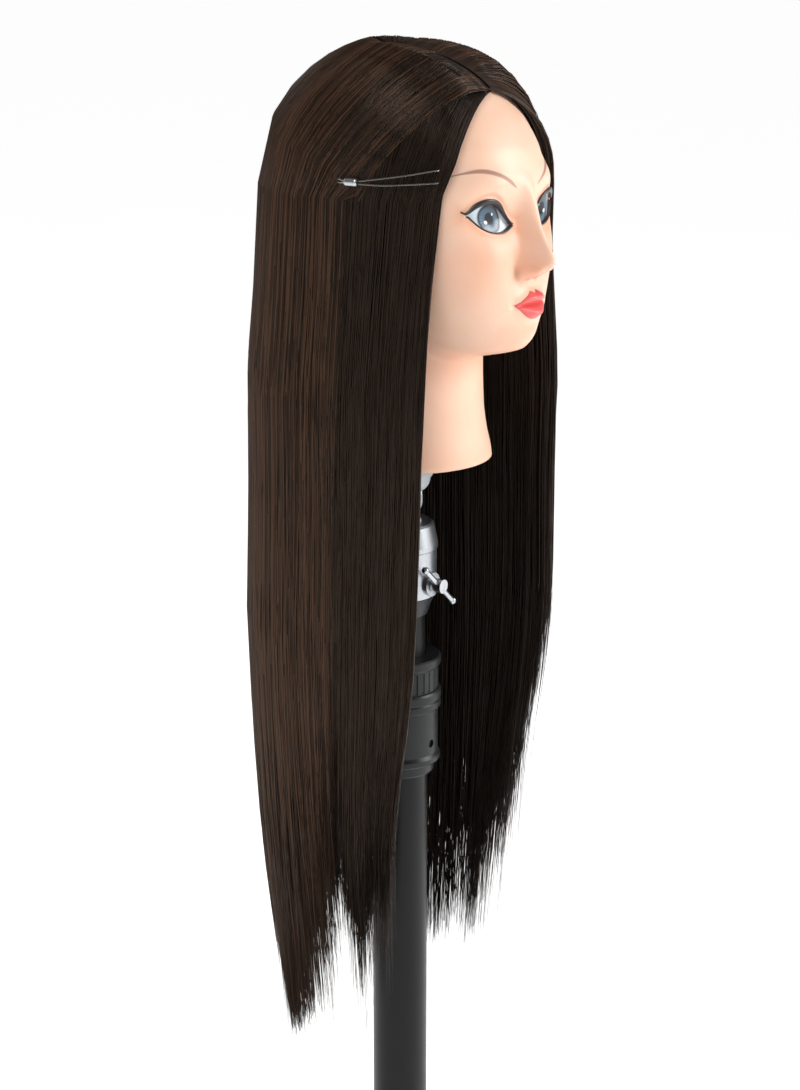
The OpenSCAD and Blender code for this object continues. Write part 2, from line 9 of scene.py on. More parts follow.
import logging
import math
from dataclasses import dataclass, field
from enum import Enum
from typing import Optional

import bpy
import numpy as np
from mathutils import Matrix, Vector


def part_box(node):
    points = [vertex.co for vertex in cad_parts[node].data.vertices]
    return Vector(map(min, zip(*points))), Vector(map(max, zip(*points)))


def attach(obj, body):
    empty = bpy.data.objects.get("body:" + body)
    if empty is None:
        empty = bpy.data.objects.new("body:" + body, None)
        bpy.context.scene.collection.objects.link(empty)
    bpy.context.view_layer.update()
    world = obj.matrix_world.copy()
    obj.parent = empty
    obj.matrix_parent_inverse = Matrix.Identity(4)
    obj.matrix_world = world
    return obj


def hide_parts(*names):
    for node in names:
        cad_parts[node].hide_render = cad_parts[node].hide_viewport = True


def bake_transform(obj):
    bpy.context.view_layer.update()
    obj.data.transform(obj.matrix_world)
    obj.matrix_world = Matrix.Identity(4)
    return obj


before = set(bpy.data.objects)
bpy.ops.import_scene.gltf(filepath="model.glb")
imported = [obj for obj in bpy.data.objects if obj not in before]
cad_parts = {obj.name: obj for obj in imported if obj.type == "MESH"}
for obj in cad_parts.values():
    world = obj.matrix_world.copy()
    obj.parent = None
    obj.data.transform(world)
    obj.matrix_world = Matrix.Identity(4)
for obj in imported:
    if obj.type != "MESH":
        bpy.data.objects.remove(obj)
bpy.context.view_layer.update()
LOG = logging.getLogger("training_head")
Array = np.ndarray
MM = 0.001
SIDES = {1: "left", -1: "right"}


# ---- Small numeric helpers ----------------------------------------------------------------


def ease(low: float, high: float, x: Array) -> Array:
    """Smooth step from 0 at low to 1 at high: three times t squared less two times t cubed."""
    t = np.clip((x - low) / (high - low), 0.0, 1.0)
    return t * t * (3.0 - 2.0 * t)


def bell(x: Array, width: float) -> Array:
    """A Gaussian hump of height 1: e to the minus square of x over width."""
    return np.exp(-((x / width) ** 2))


def soft_curve(heights: list[float], values: list[float], at: Array, blur: float = 5.0) -> Array:
    """A profile through a few points, rounded.

    The straight lines between the points are sampled every half unit and averaged with a
    Gaussian of that width, so the corners become smooth bends.

    Args:
        heights: where the profile is given, rising.
        values: the profile there.
        at: where it is wanted.
        blur: the Gaussian's width.

    Returns:
        The rounded profile at those places.
    """
    step = 0.5
    grid = np.arange(heights[0] - 4 * blur, heights[-1] + 4 * blur + step, step)
    line = np.interp(grid, heights, values)
    taps = np.arange(-3 * blur, 3 * blur + step, step)
    kernel = bell(taps, blur)
    padded = np.pad(line, len(taps) // 2, mode="edge")
    smooth = np.convolve(padded, kernel / kernel.sum(), mode="valid")[: len(grid)]
    return np.interp(at, grid, smooth)


def drift(rng: np.random.Generator, strands: int, rings: int, knots: int) -> Array:
    """Slow random wander along each strand, from -1 to 1.

    A few random values per strand are joined by a smooth step between neighbours.

    Args:
        rng: the seeded source of chance.
        strands: number of strands.
        rings: number of places along each.
        knots: number of random values along each.

    Returns:
        An array of strands by rings.
    """
    values = rng.uniform(-1, 1, (strands, knots + 1))
    place = np.linspace(0, knots - 1e-6, rings)
    left = place.astype(int)
    part = ease(0.0, 1.0, place - left)
    return values[:, left] * (1 - part) + values[:, left + 1] * part


# ---- Meshes ---------------------------------------------------------------------------------


def make_piece(name: str, points: Array, faces: list[Array]) -> bpy.types.Object:
    """Puts whole arrays of points and faces into a new mesh object at the origin.

    Args:
        name: the piece's name.
        points: one row of x, y and z in metres per vertex.
        faces: arrays of vertex numbers, each with faces of one size.

    Returns:
        The new object.
    """
    mesh = bpy.data.meshes.new(name)
    counts = np.concatenate([np.full(len(f), f.shape[1]) for f in faces])
    corners = np.concatenate([f.ravel() for f in faces]).astype(np.int32)
    starts = np.concatenate([[0], np.cumsum(counts)[:-1]]).astype(np.int32)
    mesh.vertices.add(len(points))
    mesh.vertices.foreach_set("co", points.astype(np.float32).ravel())
    mesh.loops.add(len(corners))
    mesh.loops.foreach_set("vertex_index", corners)
    mesh.polygons.add(len(counts))
    mesh.polygons.foreach_set("loop_start", starts)
    mesh.polygons.foreach_set("use_smooth", np.full(len(counts), True))
    mesh.update(calc_edges=True)
    mesh.validate()
    piece = bpy.data.objects.new(name, mesh)
    bpy.context.scene.collection.objects.link(piece)
    return piece


def add_mask(piece: bpy.types.Object, name: str, values: Array) -> None:
    """Stores one number per vertex as a named attribute that a finish can read."""
    attribute = piece.data.attributes.new(name, "FLOAT", "POINT")
    attribute.data.foreach_set("value", values.astype(np.float32).ravel())


def sheet_faces(rows: int, columns: int, start: int = 0, ring: bool = False, flip: bool = False) -> Array:
    """Quads between neighbouring rows of a grid of vertices.

    Args:
        rows: number of rows.
        columns: number of vertices in a row.
        start: number of the grid's first vertex.
        ring: whether each row closes on itself.
        flip: whether the faces are turned over.

    Returns:
        One row of four vertex numbers per face.
    """
    i = np.arange(rows - 1)[:, None]
    j = np.arange(columns if ring else columns - 1)[None, :]
    k = (j + 1) % columns
    quads = np.stack([i * columns + j, (i + 1) * columns + j, (i + 1) * columns + k, i * columns + k], -1)
    quads = quads.reshape(-1, 4) + start
    return quads[:, ::-1] if flip else quads


def slab_piece(name: str, top: Array, under: Array, flip: bool = False) -> bpy.types.Object:
    """A closed plate between two sheets of the same grid, with a strip of quads round its edge.

    Args:
        name: the piece's name.
        top: rows by columns by 3, in metres; its faces point out.
        under: the same grid on the other side.
        flip: whether the whole plate is turned over.

    Returns:
        The new object.
    """
    rows, columns = top.shape[:2]
    size = rows * columns
    index = np.arange(size).reshape(rows, columns)
    border = np.concatenate([index[0, :-1], index[:-1, -1], index[-1, :0:-1], index[:0:-1, 0]])
    following = np.roll(border, -1)
    edge = np.stack([border, following, following + size, border + size], -1)
    faces = [sheet_faces(rows, columns), sheet_faces(rows, columns, size, flip=True), edge]
    if flip:
        faces = [f[:, ::-1] for f in faces]
    return make_piece(name, np.concatenate([top.reshape(-1, 3), under.reshape(-1, 3)]), faces)


def face_plate(name: str, top: Array, under: Array) -> bpy.types.Object:
    """A closed plate on the front of the head, turned so that its top sheet points forward, to -Y."""
    backward = np.cross(top[1, 0] - top[0, 0], top[0, 1] - top[0, 0])[1] > 0
    return slab_piece(name, top, under, flip=bool(backward))


def swept_tubes(name: str, paths: Array, radii: Array, outward: Array, sides: int = 3) -> bpy.types.Object:
    """Many thin closed tubes in one mesh.

    Each ring lies across its path: the first direction is the path crossed with the outward
    direction, the second completes the frame, and the ring's corners are cosine and sine
    of equal turns between the two. A polygon closes each end.

    Args:
        name: the piece's name.
        paths: tubes by rings by 3, in metres.
        radii: tubes by rings, in metres.
        outward: tubes by rings by 3, roughly away from what the tubes lie on.
        sides: corners of each ring.

    Returns:
        The new object.
    """
    tubes, rings = paths.shape[:2]
    along = np.gradient(paths, axis=1)
    along /= np.linalg.norm(along, axis=2, keepdims=True) + 1e-12
    across = np.cross(along, outward)
    across /= np.linalg.norm(across, axis=2, keepdims=True) + 1e-12
    lift = np.cross(across, along)
    turn = 2 * np.pi * np.arange(sides) / sides + np.pi / 2
    wheel = np.cos(turn)[:, None] * across[:, :, None] + np.sin(turn)[:, None] * lift[:, :, None]
    points = paths[:, :, None] + wheel * radii[:, :, None, None]
    one = sheet_faces(rings, sides, ring=True, flip=True)
    starts = (np.arange(tubes) * rings * sides)[:, None, None]
    walls = (one[None] + starts).reshape(-1, 4)
    first = (np.arange(sides)[None] + starts[:, 0]).reshape(tubes, sides)
    last = first[:, ::-1] + (rings - 1) * sides
    return make_piece(name, points.reshape(-1, 3), [walls, first, last])


def loop_tube(name: str, route: Array, radius: float, sides: int = 12) -> bpy.types.Object:
    """A closed ring of round tube: at each point a circle across the mean of its two neighbours' line."""
    along = np.roll(route, -1, 0) - np.roll(route, 1, 0)
    along /= np.linalg.norm(along, axis=1, keepdims=True)
    lean = route * np.array([6.0, 6.0, 0.0]) + np.array([0.0, 0.0, 1.0])
    across = np.cross(along, lean)
    across /= np.linalg.norm(across, axis=1, keepdims=True)
    lift = np.cross(across, along)
    turn = 2 * np.pi * np.arange(sides) / sides
    circle = np.cos(turn)[:, None] * across[:, None] + np.sin(turn)[:, None] * lift[:, None]
    points = (route[:, None] + radius * circle).reshape(-1, 3)
    i = np.arange(len(route))[:, None]
    j = np.arange(sides)[None]
    after, beside = (i + 1) % len(route), (j + 1) % sides
    quads = np.stack([i * sides + j, i * sides + beside, after * sides + beside, after * sides + j], -1)
    return make_piece(name, points, [quads.reshape(-1, 4)])


# ---- Finishes -------------------------------------------------------------------------------

Colour = tuple[float, float, float]


class Grain(Enum):
    """How coarse the small unevenness of a finish is, as waves per metre."""

    FINE = 1400.0
    MOULDED = 700.0
    SOFT = 220.0
    CLOUD = 28.0


class Painter:
    """Builds the node tree of one material round a single principled shader."""

    def __init__(self, name: str) -> None:
        """Starts an empty material with a principled shader and object coordinates."""
        self.material = bpy.data.materials.new(name)
        self.material.use_nodes = True
        self.nodes = self.material.node_tree.nodes
        self.links = self.material.node_tree.links
        self.shader = self.nodes["Principled BSDF"]
        self.place = self.nodes.new("ShaderNodeTexCoord").outputs["Object"]

    def set(self, **values: object) -> None:
        """Sets sockets of the shader; underscores in a name stand for spaces."""
        for name, value in values.items():
            socket = self.shader.inputs[name.replace("_", " ")]
            socket.default_value = (*value, 1.0) if isinstance(value, tuple) and len(value) == 3 \
                and socket.type == "RGBA" else value

    def noise(self, grain: float, detail: float = 3.0,
              stretch: Optional[Colour] = None) -> bpy.types.NodeSocket:
        """Noise of that grain over the object.

        Args:
            grain: waves per metre.
            detail: octaves of finer noise.
            stretch: scale along x, y and z, or None for even noise.

        Returns:
            The noise's value socket.
        """
        source = self.place
        if stretch is not None:
            mapping = self.nodes.new("ShaderNodeMapping")
            mapping.inputs["Scale"].default_value = stretch
            self.links.new(source, mapping.inputs["Vector"])
            source = mapping.outputs["Vector"]
        texture = self.nodes.new("ShaderNodeTexNoise")
        texture.inputs["Scale"].default_value = grain
        texture.inputs["Detail"].default_value = detail
        self.links.new(source, texture.inputs["Vector"])
        return texture.outputs["Fac"]

    def mask(self, name: str) -> bpy.types.NodeSocket:
        """The number per vertex that a piece stores under that name."""
        node = self.nodes.new("ShaderNodeAttribute")
        node.attribute_name = name
        return node.outputs["Fac"]

    def spread(self, value: bpy.types.NodeSocket, low: float, high: float, to_low: float = 0.0,
               to_high: float = 1.0) -> bpy.types.NodeSocket:
        """The value, mapped in a straight line from one range to another and held at the ends."""
        node = self.nodes.new("ShaderNodeMapRange")
        for socket, number in zip(("From Min", "From Max", "To Min", "To Max"), (low, high, to_low, to_high)):
            node.inputs[socket].default_value = number
        self.links.new(value, node.inputs["Value"])
        return node.outputs["Result"]

    def blend(self, share: bpy.types.NodeSocket, first: object, second: object) -> bpy.types.NodeSocket:
        """A mix of two colours, each a fixed one or a socket, by that share."""
        node = self.nodes.new("ShaderNodeMix")
        node.data_type = "RGBA"
        self.links.new(share, node.inputs[0])
        for index, colour in ((6, first), (7, second)):
            if isinstance(colour, tuple):
                node.inputs[index].default_value = (*colour, 1.0)
            else:
                self.links.new(colour, node.inputs[index])
        return node.outputs[2]

    def colour(self, socket: bpy.types.NodeSocket) -> None:
        """Leads a colour into the shader."""
        self.links.new(socket, self.shader.inputs["Base Color"])

    def rough(self, socket: bpy.types.NodeSocket) -> None:
        """Leads a roughness into the shader."""
        self.links.new(socket, self.shader.inputs["Roughness"])

    def bump(self, height: bpy.types.NodeSocket, strength: float, depth: float) -> None:
        """Turns a height into small relief.

        Args:
            height: the height's socket, from 0 to 1.
            strength: share of the relief that shows.
            depth: the relief's depth in metres.
        """
        node = self.nodes.new("ShaderNodeBump")
        node.inputs["Strength"].default_value = strength
        node.inputs["Distance"].default_value = depth
        self.links.new(height, node.inputs["Height"])
        self.links.new(node.outputs["Normal"], self.shader.inputs["Normal"])


@dataclass(frozen=True)
class Moulding:
    """Plastic, rubber or paint with a clouded colour, an uneven gloss and a fine grain."""

    name: str
    base: Colour
    shade: Colour
    roughness: float = 0.45
    metallic: float = 0.0
    coat: float = 0.0
    grain: Grain = Grain.MOULDED
    relief: float = 0.00006
    stretch: Optional[Colour] = None
    gloss: float = 0.5

    def material(self) -> bpy.types.Material:
        """The material: two tones mixed by soft noise, gloss varied by it, and relief of its grain."""
        paint = Painter(self.name)
        paint.set(Metallic=self.metallic, Coat_Weight=self.coat, Coat_Roughness=0.2,
                  Specular_IOR_Level=self.gloss)
        cloud = paint.noise(Grain.CLOUD.value, 4.0, self.stretch)
        paint.colour(paint.blend(paint.spread(cloud, 0.3, 0.7), self.base, self.shade))
        paint.rough(paint.spread(cloud, 0.25, 0.75, self.roughness - 0.07, self.roughness + 0.09))
        paint.bump(paint.noise(self.grain.value, 2.0, self.stretch), 0.5, self.relief)
        return paint.material


@dataclass(frozen=True)
class VinylSkin:
    """Soft peach vinyl, faintly pored: warmer where the blush_and_shade mask lays painted blush and painted
    shade, darker where the deep mask lays painted shade.
    """

    base: Colour = (0.88, 0.56, 0.40)
    pale: Colour = (0.92, 0.62, 0.47)
    # Colour of the painted blush and the painted shade.
    blush_and_shade_tone: Colour = (0.84, 0.37, 0.22)
    # Colour of the painted shade in the nostrils, the creases beside the nose wings and the eye openings.
    deep: Colour = (0.36, 0.12, 0.06)

    def material(self) -> bpy.types.Material:
        """The material: base and pale clouded together, then the two masks laid over."""
        paint = Painter("skin_vinyl")
        paint.set(Subsurface_Weight=0.18, Subsurface_Radius=(0.6, 0.25, 0.12), Subsurface_Scale=0.006,
                  Coat_Weight=0.06, Coat_Roughness=0.35, Specular_IOR_Level=0.42)
        cloud = paint.noise(Grain.CLOUD.value, 3.0)
        tone = paint.blend(paint.spread(cloud, 0.3, 0.7), self.base, self.pale)
        # The blush_and_shade mask lays painted blush and painted shade; the deep mask lays painted shade in the
        # recesses.
        tone = paint.blend(paint.mask("blush_and_shade"), tone, self.blush_and_shade_tone)
        paint.colour(paint.blend(paint.mask("deep"), tone, self.deep))
        paint.rough(paint.spread(cloud, 0.25, 0.75, 0.40, 0.50))
        paint.bump(paint.noise(900.0, 2.0), 0.35, 0.00006)
        return paint.material


@dataclass(frozen=True)
class Paint:
    """Hand-sprayed paint on the vinyl, such as the lips, brows and lash lines."""

    name: str
    base: Colour
    edge: Colour
    roughness: float
    coat: float = 0.0

    def material(self) -> bpy.types.Material:
        """The material: the edge colour fades in by the rim mask, with fine noise in the gloss."""
        paint = Painter(self.name)
        paint.set(Coat_Weight=self.coat, Coat_Roughness=0.15)
        paint.colour(paint.blend(paint.mask("rim"), self.base, self.edge))
        paint.rough(paint.spread(paint.noise(600.0), 0.3, 0.7, self.roughness - 0.05, self.roughness + 0.05))
        paint.bump(paint.noise(1100.0, 1.0, (1.0, 1.0, 0.35)), 0.3, 0.00005)
        return paint.material


@dataclass(frozen=True)
class PrintedEye:
    """A printed eye under clear gloss: white, iris, ring and pupil by their masks, with painted shade under the
    upper lid and painted highlights for catch lights.
    """

    white: Colour = (0.66, 0.74, 0.79)
    iris: Colour = (0.07, 0.12, 0.17)
    # Lighter fleck colour, kept to the lower iris: the iris's own flecks with painted light.
    flare: Colour = (0.24, 0.34, 0.42)
    # Colour of the ring and pupil, and of the painted shade under the upper lid and in the inner corner.
    ring: Colour = (0.005, 0.008, 0.012)
    # Colour of the painted highlights that stand for catch lights.
    painted_catch_light: Colour = (0.95, 0.97, 1.0)

    def material(self) -> bpy.types.Material:
        """The material: each mask lays its colour over the last; flecks lighten the lower iris as painted
        light, the ring mask adds painted shade, the catch light mask painted highlights.
        """
        paint = Painter("eye_printed")
        paint.set(Roughness=0.3, Coat_Weight=0.25, Coat_Roughness=0.06, Specular_IOR_Level=0.3)
        # The lighter flare colour follows the flecks, which also lay painted light on the lower iris.
        spokes = paint.spread(paint.mask("spoke_and_light"), 0.0, 1.0)
        iris = paint.blend(spokes, self.iris, self.flare)
        tone = paint.blend(paint.mask("iris"), self.white, iris)
        tone = paint.blend(paint.mask("ring"), tone, self.ring)
        paint.colour(paint.blend(paint.mask("painted_catch_light"), tone, self.painted_catch_light))
        return paint.material


class HairTone(Enum):
    """The dyed batches of fibre that are mixed in such a head: colour and roughness. Darker batches are laid
    deeper in the hair, so their darkness is partly painted shade.
    """

    BLACK = ((0.0065, 0.0048, 0.0042), 0.36)
    DARK = ((0.013, 0.0086, 0.0066), 0.33)
    BROWN = ((0.030, 0.0165, 0.0105), 0.32)
    CHESTNUT = ((0.080, 0.040, 0.023), 0.33)

    def material(self) -> bpy.types.Material:
        """The fibre's material. Its tone is plain, because each batch of strands is one dye lot."""
        name = f"hair_{self.name.lower()}"
        known = bpy.data.materials.get(name)
        if known:
            return known
        paint = Painter(name)
        colour, roughness = self.value
        paint.set(Base_Color=colour, Roughness=roughness, Specular_IOR_Level=0.32,
                  Specular_Tint=(1.0, 0.74, 0.58))
        return paint.material


@dataclass(frozen=True)
class ClearElastic:
    """Clear elastic cord: mostly lets light through, slightly smoky."""

    tint: Colour = (0.10, 0.085, 0.075)

    def material(self) -> bpy.types.Material:
        """The material: transmitting, with a soft gloss."""
        paint = Painter("elastic_clear")
        paint.set(Base_Color=self.tint, Roughness=0.35, Transmission_Weight=0.3, IOR=1.45)
        paint.bump(paint.noise(Grain.MOULDED.value), 0.2, 0.00003)
        return paint.material


NICKEL = Moulding("nickel_plate", (0.60, 0.62, 0.64), (0.47, 0.49, 0.51), 0.24, 1.0, 0.0, Grain.SOFT, 0.00002)
BRUSHED = Moulding("nickel_brushed", (0.52, 0.54, 0.56), (0.36, 0.38, 0.40), 0.34, 1.0, 0.0, Grain.FINE,
                   0.00003, (1.0, 1.0, 0.05))
GREY = Moulding("grey_moulding", (0.50, 0.53, 0.54), (0.40, 0.43, 0.44), 0.38, 0.0, 0.15)
POWDER = Moulding("black_powder_coat", (0.0035, 0.0035, 0.004), (0.007, 0.007, 0.0075), 0.36, 0.0, 0.0,
                  Grain.FINE, 0.00008, gloss=0.22)
BLACK_PLASTIC = Moulding("black_moulding", (0.009, 0.010, 0.011), (0.017, 0.018, 0.019), 0.36, gloss=0.3)
DARK_PLASTIC = Moulding("dark_grey_moulding", (0.022, 0.024, 0.026), (0.036, 0.038, 0.041), 0.38, gloss=0.35)
NYLON = Moulding("natural_nylon", (0.74, 0.73, 0.69), (0.62, 0.61, 0.57), 0.5, 0.0, 0.0, Grain.SOFT)
RUBBER = Moulding("black_rubber", (0.018, 0.018, 0.018), (0.032, 0.031, 0.030), 0.78, 0.0, 0.0,
                  Grain.SOFT, 0.00018)
FOAM = Moulding("foam_filling", (0.62, 0.58, 0.50), (0.50, 0.46, 0.39), 0.9, 0.0, 0.0, Grain.SOFT, 0.0004)
SCALP = Moulding("rooted_scalp", (0.17, 0.135, 0.135), (0.085, 0.065, 0.062), 0.6, 0.0, 0.0,
                 Grain.MOULDED, 0.0003)
LIPS = Paint("lip_paint", (0.80, 0.13, 0.12), (0.66, 0.09, 0.09), 0.42, 0.1)
BROW = Paint("brow_paint", (0.40, 0.20, 0.145), (0.70, 0.45, 0.34), 0.5)
LASH = Paint("lash_paint", (0.012, 0.010, 0.011), (0.05, 0.035, 0.033), 0.35, 0.2)


# ---- The head's form ------------------------------------------------------------------------


@dataclass(frozen=True)
class Hump:
    """One rounded hump or hollow: how far it stands out, and its middle and width across and up."""

    rise: float
    side: float
    width: float
    level: float
    tall: float

    def at(self, side: Array, h: Array) -> Array:
        """Its height at those places: the rise times a bell across and a bell up."""
        return self.rise * bell(side - self.side, self.width) * bell(h - self.level, self.tall)


FEATURES = {
    "nose wings": Hump(8.0, 8.6, 3.7, 138.5, 5.2),
    "nostrils": Hump(-4.6, 4.8, 2.2, 133.6, 2.6),
    "folds beside the wings": Hump(-1.6, 14.4, 3.2, 139.0, 7.0),
    "eye sockets": Hump(-6.4, 25.0, 17.0, 173.5, 13.0),
    "brow bones": Hump(2.2, 30.0, 20.0, 197.0, 9.0),
    "cheeks": Hump(3.0, 37.0, 17.0, 143.0, 19.0),
    "mouth": Hump(5.4, 0.0, 33.0, 116.0, 15.0),
    "jaw front": Hump(6.0, 0.0, 32.0, 98.0, 12.0),
    "groove under the nose": Hump(-1.1, 0.0, 2.6, 127.0, 4.5),
    "mouth corners": Hump(-1.8, 18.5, 3.0, 116.0, 3.6),
    "fold under the lip": Hump(-1.0, 0.0, 15.0, 101.0, 4.6),
    "chin": Hump(5.0, 0.0, 18.0, 89.0, 10.5),
}
# Painted blush on the cheeks and chin; painted shade at the nose wings, beside the nose and in the fold under
# the lip.
BLUSH_AND_SHADE_HUMPS = [
    Hump(0.42, 40, 20, 146, 22), Hump(0.62, 9, 7, 139, 9), Hump(0.35, 12, 9, 162, 16),
    Hump(0.30, 0, 22, 86, 12), Hump(0.25, 0, 30, 100, 5)]
# Painted shade in the nostrils and in the creases beside the nose wings.
PAINTED_SHADE_HUMPS = [Hump(0.85, 5.0, 2.4, 133.8, 2.2), Hump(0.4, 14, 1.5, 137, 4.5)]


@dataclass
class HeadForm:
    """The outer surface of the vinyl head, as a function of direction and height.

    Direction is in degrees, 0 at the nose and positive towards the head's left side (+X).
    The radius is a flattened ellipse whose half width, front and back follow rounded
    profiles. It turns into the round neck below a jaw line that climbs from chin to ear.
    The features are humps and hollows added along the depth.
    """

    rim_z: float
    centre_y: float = -5.0
    levels: list[float] = field(default_factory=lambda: [
        78, 86, 97, 109, 123, 141, 160, 178, 198, 216, 234, 250, 262, 270, 274.5])
    widths: list[float] = field(default_factory=lambda: [
        43, 49, 54, 59, 64.5, 69.5, 72.5, 74.3, 74.6, 71, 63.5, 52.5, 40, 26, 13])
    fronts: list[float] = field(default_factory=lambda: [
        83, 88, 91, 94, 96, 97, 97, 96.5, 95.5, 91.5, 80.5, 65.5, 48, 31, 15])
    backs: list[float] = field(default_factory=lambda: [
        56, 60, 66, 72, 79, 85, 89, 92, 92, 89, 79, 65.5, 48.5, 32, 16])
    neck_levels: list[float] = field(default_factory=lambda: [0, 7, 18, 34, 60, 130])
    neck_radii: list[float] = field(default_factory=lambda: [60, 59.2, 56.3, 54, 53, 53])
    nose_levels: list[float] = field(default_factory=lambda: [
        128, 132, 135.5, 139, 143, 147, 151, 158, 166, 175, 186])
    nose_ridge: list[float] = field(default_factory=lambda: [
        0.0, 1.8, 9.5, 17.5, 21.0, 20.6, 18.6, 14.4, 11.2, 8.8, 6.0])
    eye_x: float = 32.5
    eye_h: float = 173.0
    eye_half: float = 21.0
    eye_rise: float = 10.4
    eye_fall: float = 7.8
    eye_slant: float = 0.18
    eye_tilt: float = 0.87

    def radius(self, direction: Array, height: Array) -> Array:
        """Distance from the head's upright middle line to the plain surface, before the features.

        The exponent of the ellipse is 2.25 at the brow and 2.75 at the cheeks, which are squarer.
        """
        turn = np.radians(direction)
        wide = soft_curve(self.levels, self.widths, height)
        front = soft_curve(self.levels, self.fronts, height)
        back = soft_curve(self.levels, self.backs, height)
        deep = np.where(np.cos(turn) > 0, front, back)
        cheek = ease(88.0, 112.0, height) * ease(212.0, 182.0, height)
        power = np.where(np.cos(turn) > 0, 2.25 + 0.5 * cheek, 2.05)
        head = ((np.abs(np.sin(turn)) / wide) ** power + (np.abs(np.cos(turn)) / deep) ** power) ** (-1 / power)
        neck = soft_curve(self.neck_levels, self.neck_radii, height)
        side = np.abs(direction)
        jaw = 78.5 + 28.0 * ease(18.0, 88.0, side) - 6.0 * ease(100.0, 170.0, side)
        reach = 6.0 + 10.0 * ease(20.0, 90.0, side)
        share = ease(-1.0, 1.0, (height - jaw) / reach)
        return neck * (1 - share) + head * share

    def eye_place(self, x: Array, height: Array) -> tuple[Array, Array]:
        """Place within the eye: along its slanted width and across it, in millimetres."""
        along = (np.abs(x) - self.eye_x) / self.eye_tilt
        return along, (height - self.eye_h) - self.eye_slant * along

    def lid(self, along: Array, upper: bool) -> Array:
        """Height of a lid's edge above the eye's middle line: an arch that falls to the corners."""
        share = np.clip(np.abs(along - (1.2 if upper else -1.0)) / self.eye_half, 0, 1)
        return self.eye_rise * (1 - share ** 2.1) if upper else -self.eye_fall * (1 - share ** 2.4)

    def opening(self, x: Array, height: Array) -> Array:
        """Signed distance across the eye's opening, above 0 inside it."""
        along, across = self.eye_place(x, height)
        inside = np.minimum(self.lid(along, True) - across, across - self.lid(along, False))
        return np.minimum(inside, self.eye_half - np.abs(along))

    def features(self, x: Array, h: Array, lids: bool) -> Array:
        """How far the face stands forward of the plain surface: the sum of its humps and hollows.

        The nose is a ridge of given height and spread; after the named humps come the upper
        lip, the lower lip and the line between them, which bend with the distance across.

        Args:
            x: place across the face, in millimetres.
            h: height above the rim, in millimetres.
            lids: whether the eye openings are sunk and their lids raised.

        Returns:
            The forward shift in millimetres.
        """
        side = np.abs(x)
        ridge = soft_curve(self.nose_levels, self.nose_ridge, h, 1.3) * ease(205.0, 183.0, h)
        spread = np.interp(h, [130, 138, 143, 149, 160, 185], [8.4, 8.2, 8.2, 7.2, 6.4, 7.6])
        out = ridge * np.exp(-np.abs(x / spread) ** 2.25)
        for hump in FEATURES.values():
            out += hump.at(side, h)
        out += 5.6 * bell(x, 14.5) * bell(h - 120.6 + 0.012 * x * x, 3.7)
        out += 6.4 * bell(x, 12.5) * bell(h - 110.2 - 0.009 * x * x, 4.3)
        out -= 3.6 * np.exp(-(x / 16.5) ** 4) * bell(h - 115.8 + 0.2 * bell(x, 4.0), 1.25)
        along, across = self.eye_place(x, h)
        if lids:
            gap = self.opening(x, h)
            out -= 6.4 * ease(-0.35, 0.85, gap)
            out += 0.7 * bell(gap + 1.1, 1.7) * ease(-0.4, -1.0, gap)
            near = bell(along, 17.0)
            out -= 1.3 * near * bell(across - self.lid(along, True) - 5.2, 1.3)
        return out

    def point(self, direction: Array, height: Array, lift: object = 0.0, lids: bool = True) -> Array:
        """Point of the surface in metres.

        Args:
            direction: degrees round the head.
            height: millimetres above the rim.
            lift: millimetres outwards from the surface.
            lids: whether the eye openings are sunk.

        Returns:
            An array with one more axis, of x, y and z.
        """
        direction, height = np.broadcast_arrays(np.asarray(direction, float), np.asarray(height, float))
        turn = np.radians(direction)
        radius = self.radius(direction, height) + lift
        x = radius * np.sin(turn)
        y = self.centre_y - radius * np.cos(turn)
        front = ease(0.05, 0.45, np.cos(turn))
        y = y - front * self.features(x, height, lids)
        return np.stack([x, y, self.rim_z + height], -1) * MM

    def direction_at(self, x: Array, height: Array) -> Array:
        """The direction whose plain surface lies at that x, by twelve steps of correction from its sine."""
        direction = np.degrees(np.arcsin(np.clip(x / 85.0, -0.95, 0.95)))
        for _ in range(12):
            now = self.radius(direction, height) * np.sin(np.radians(direction))
            direction = direction + np.degrees((x - now) / 95.0)
        return direction


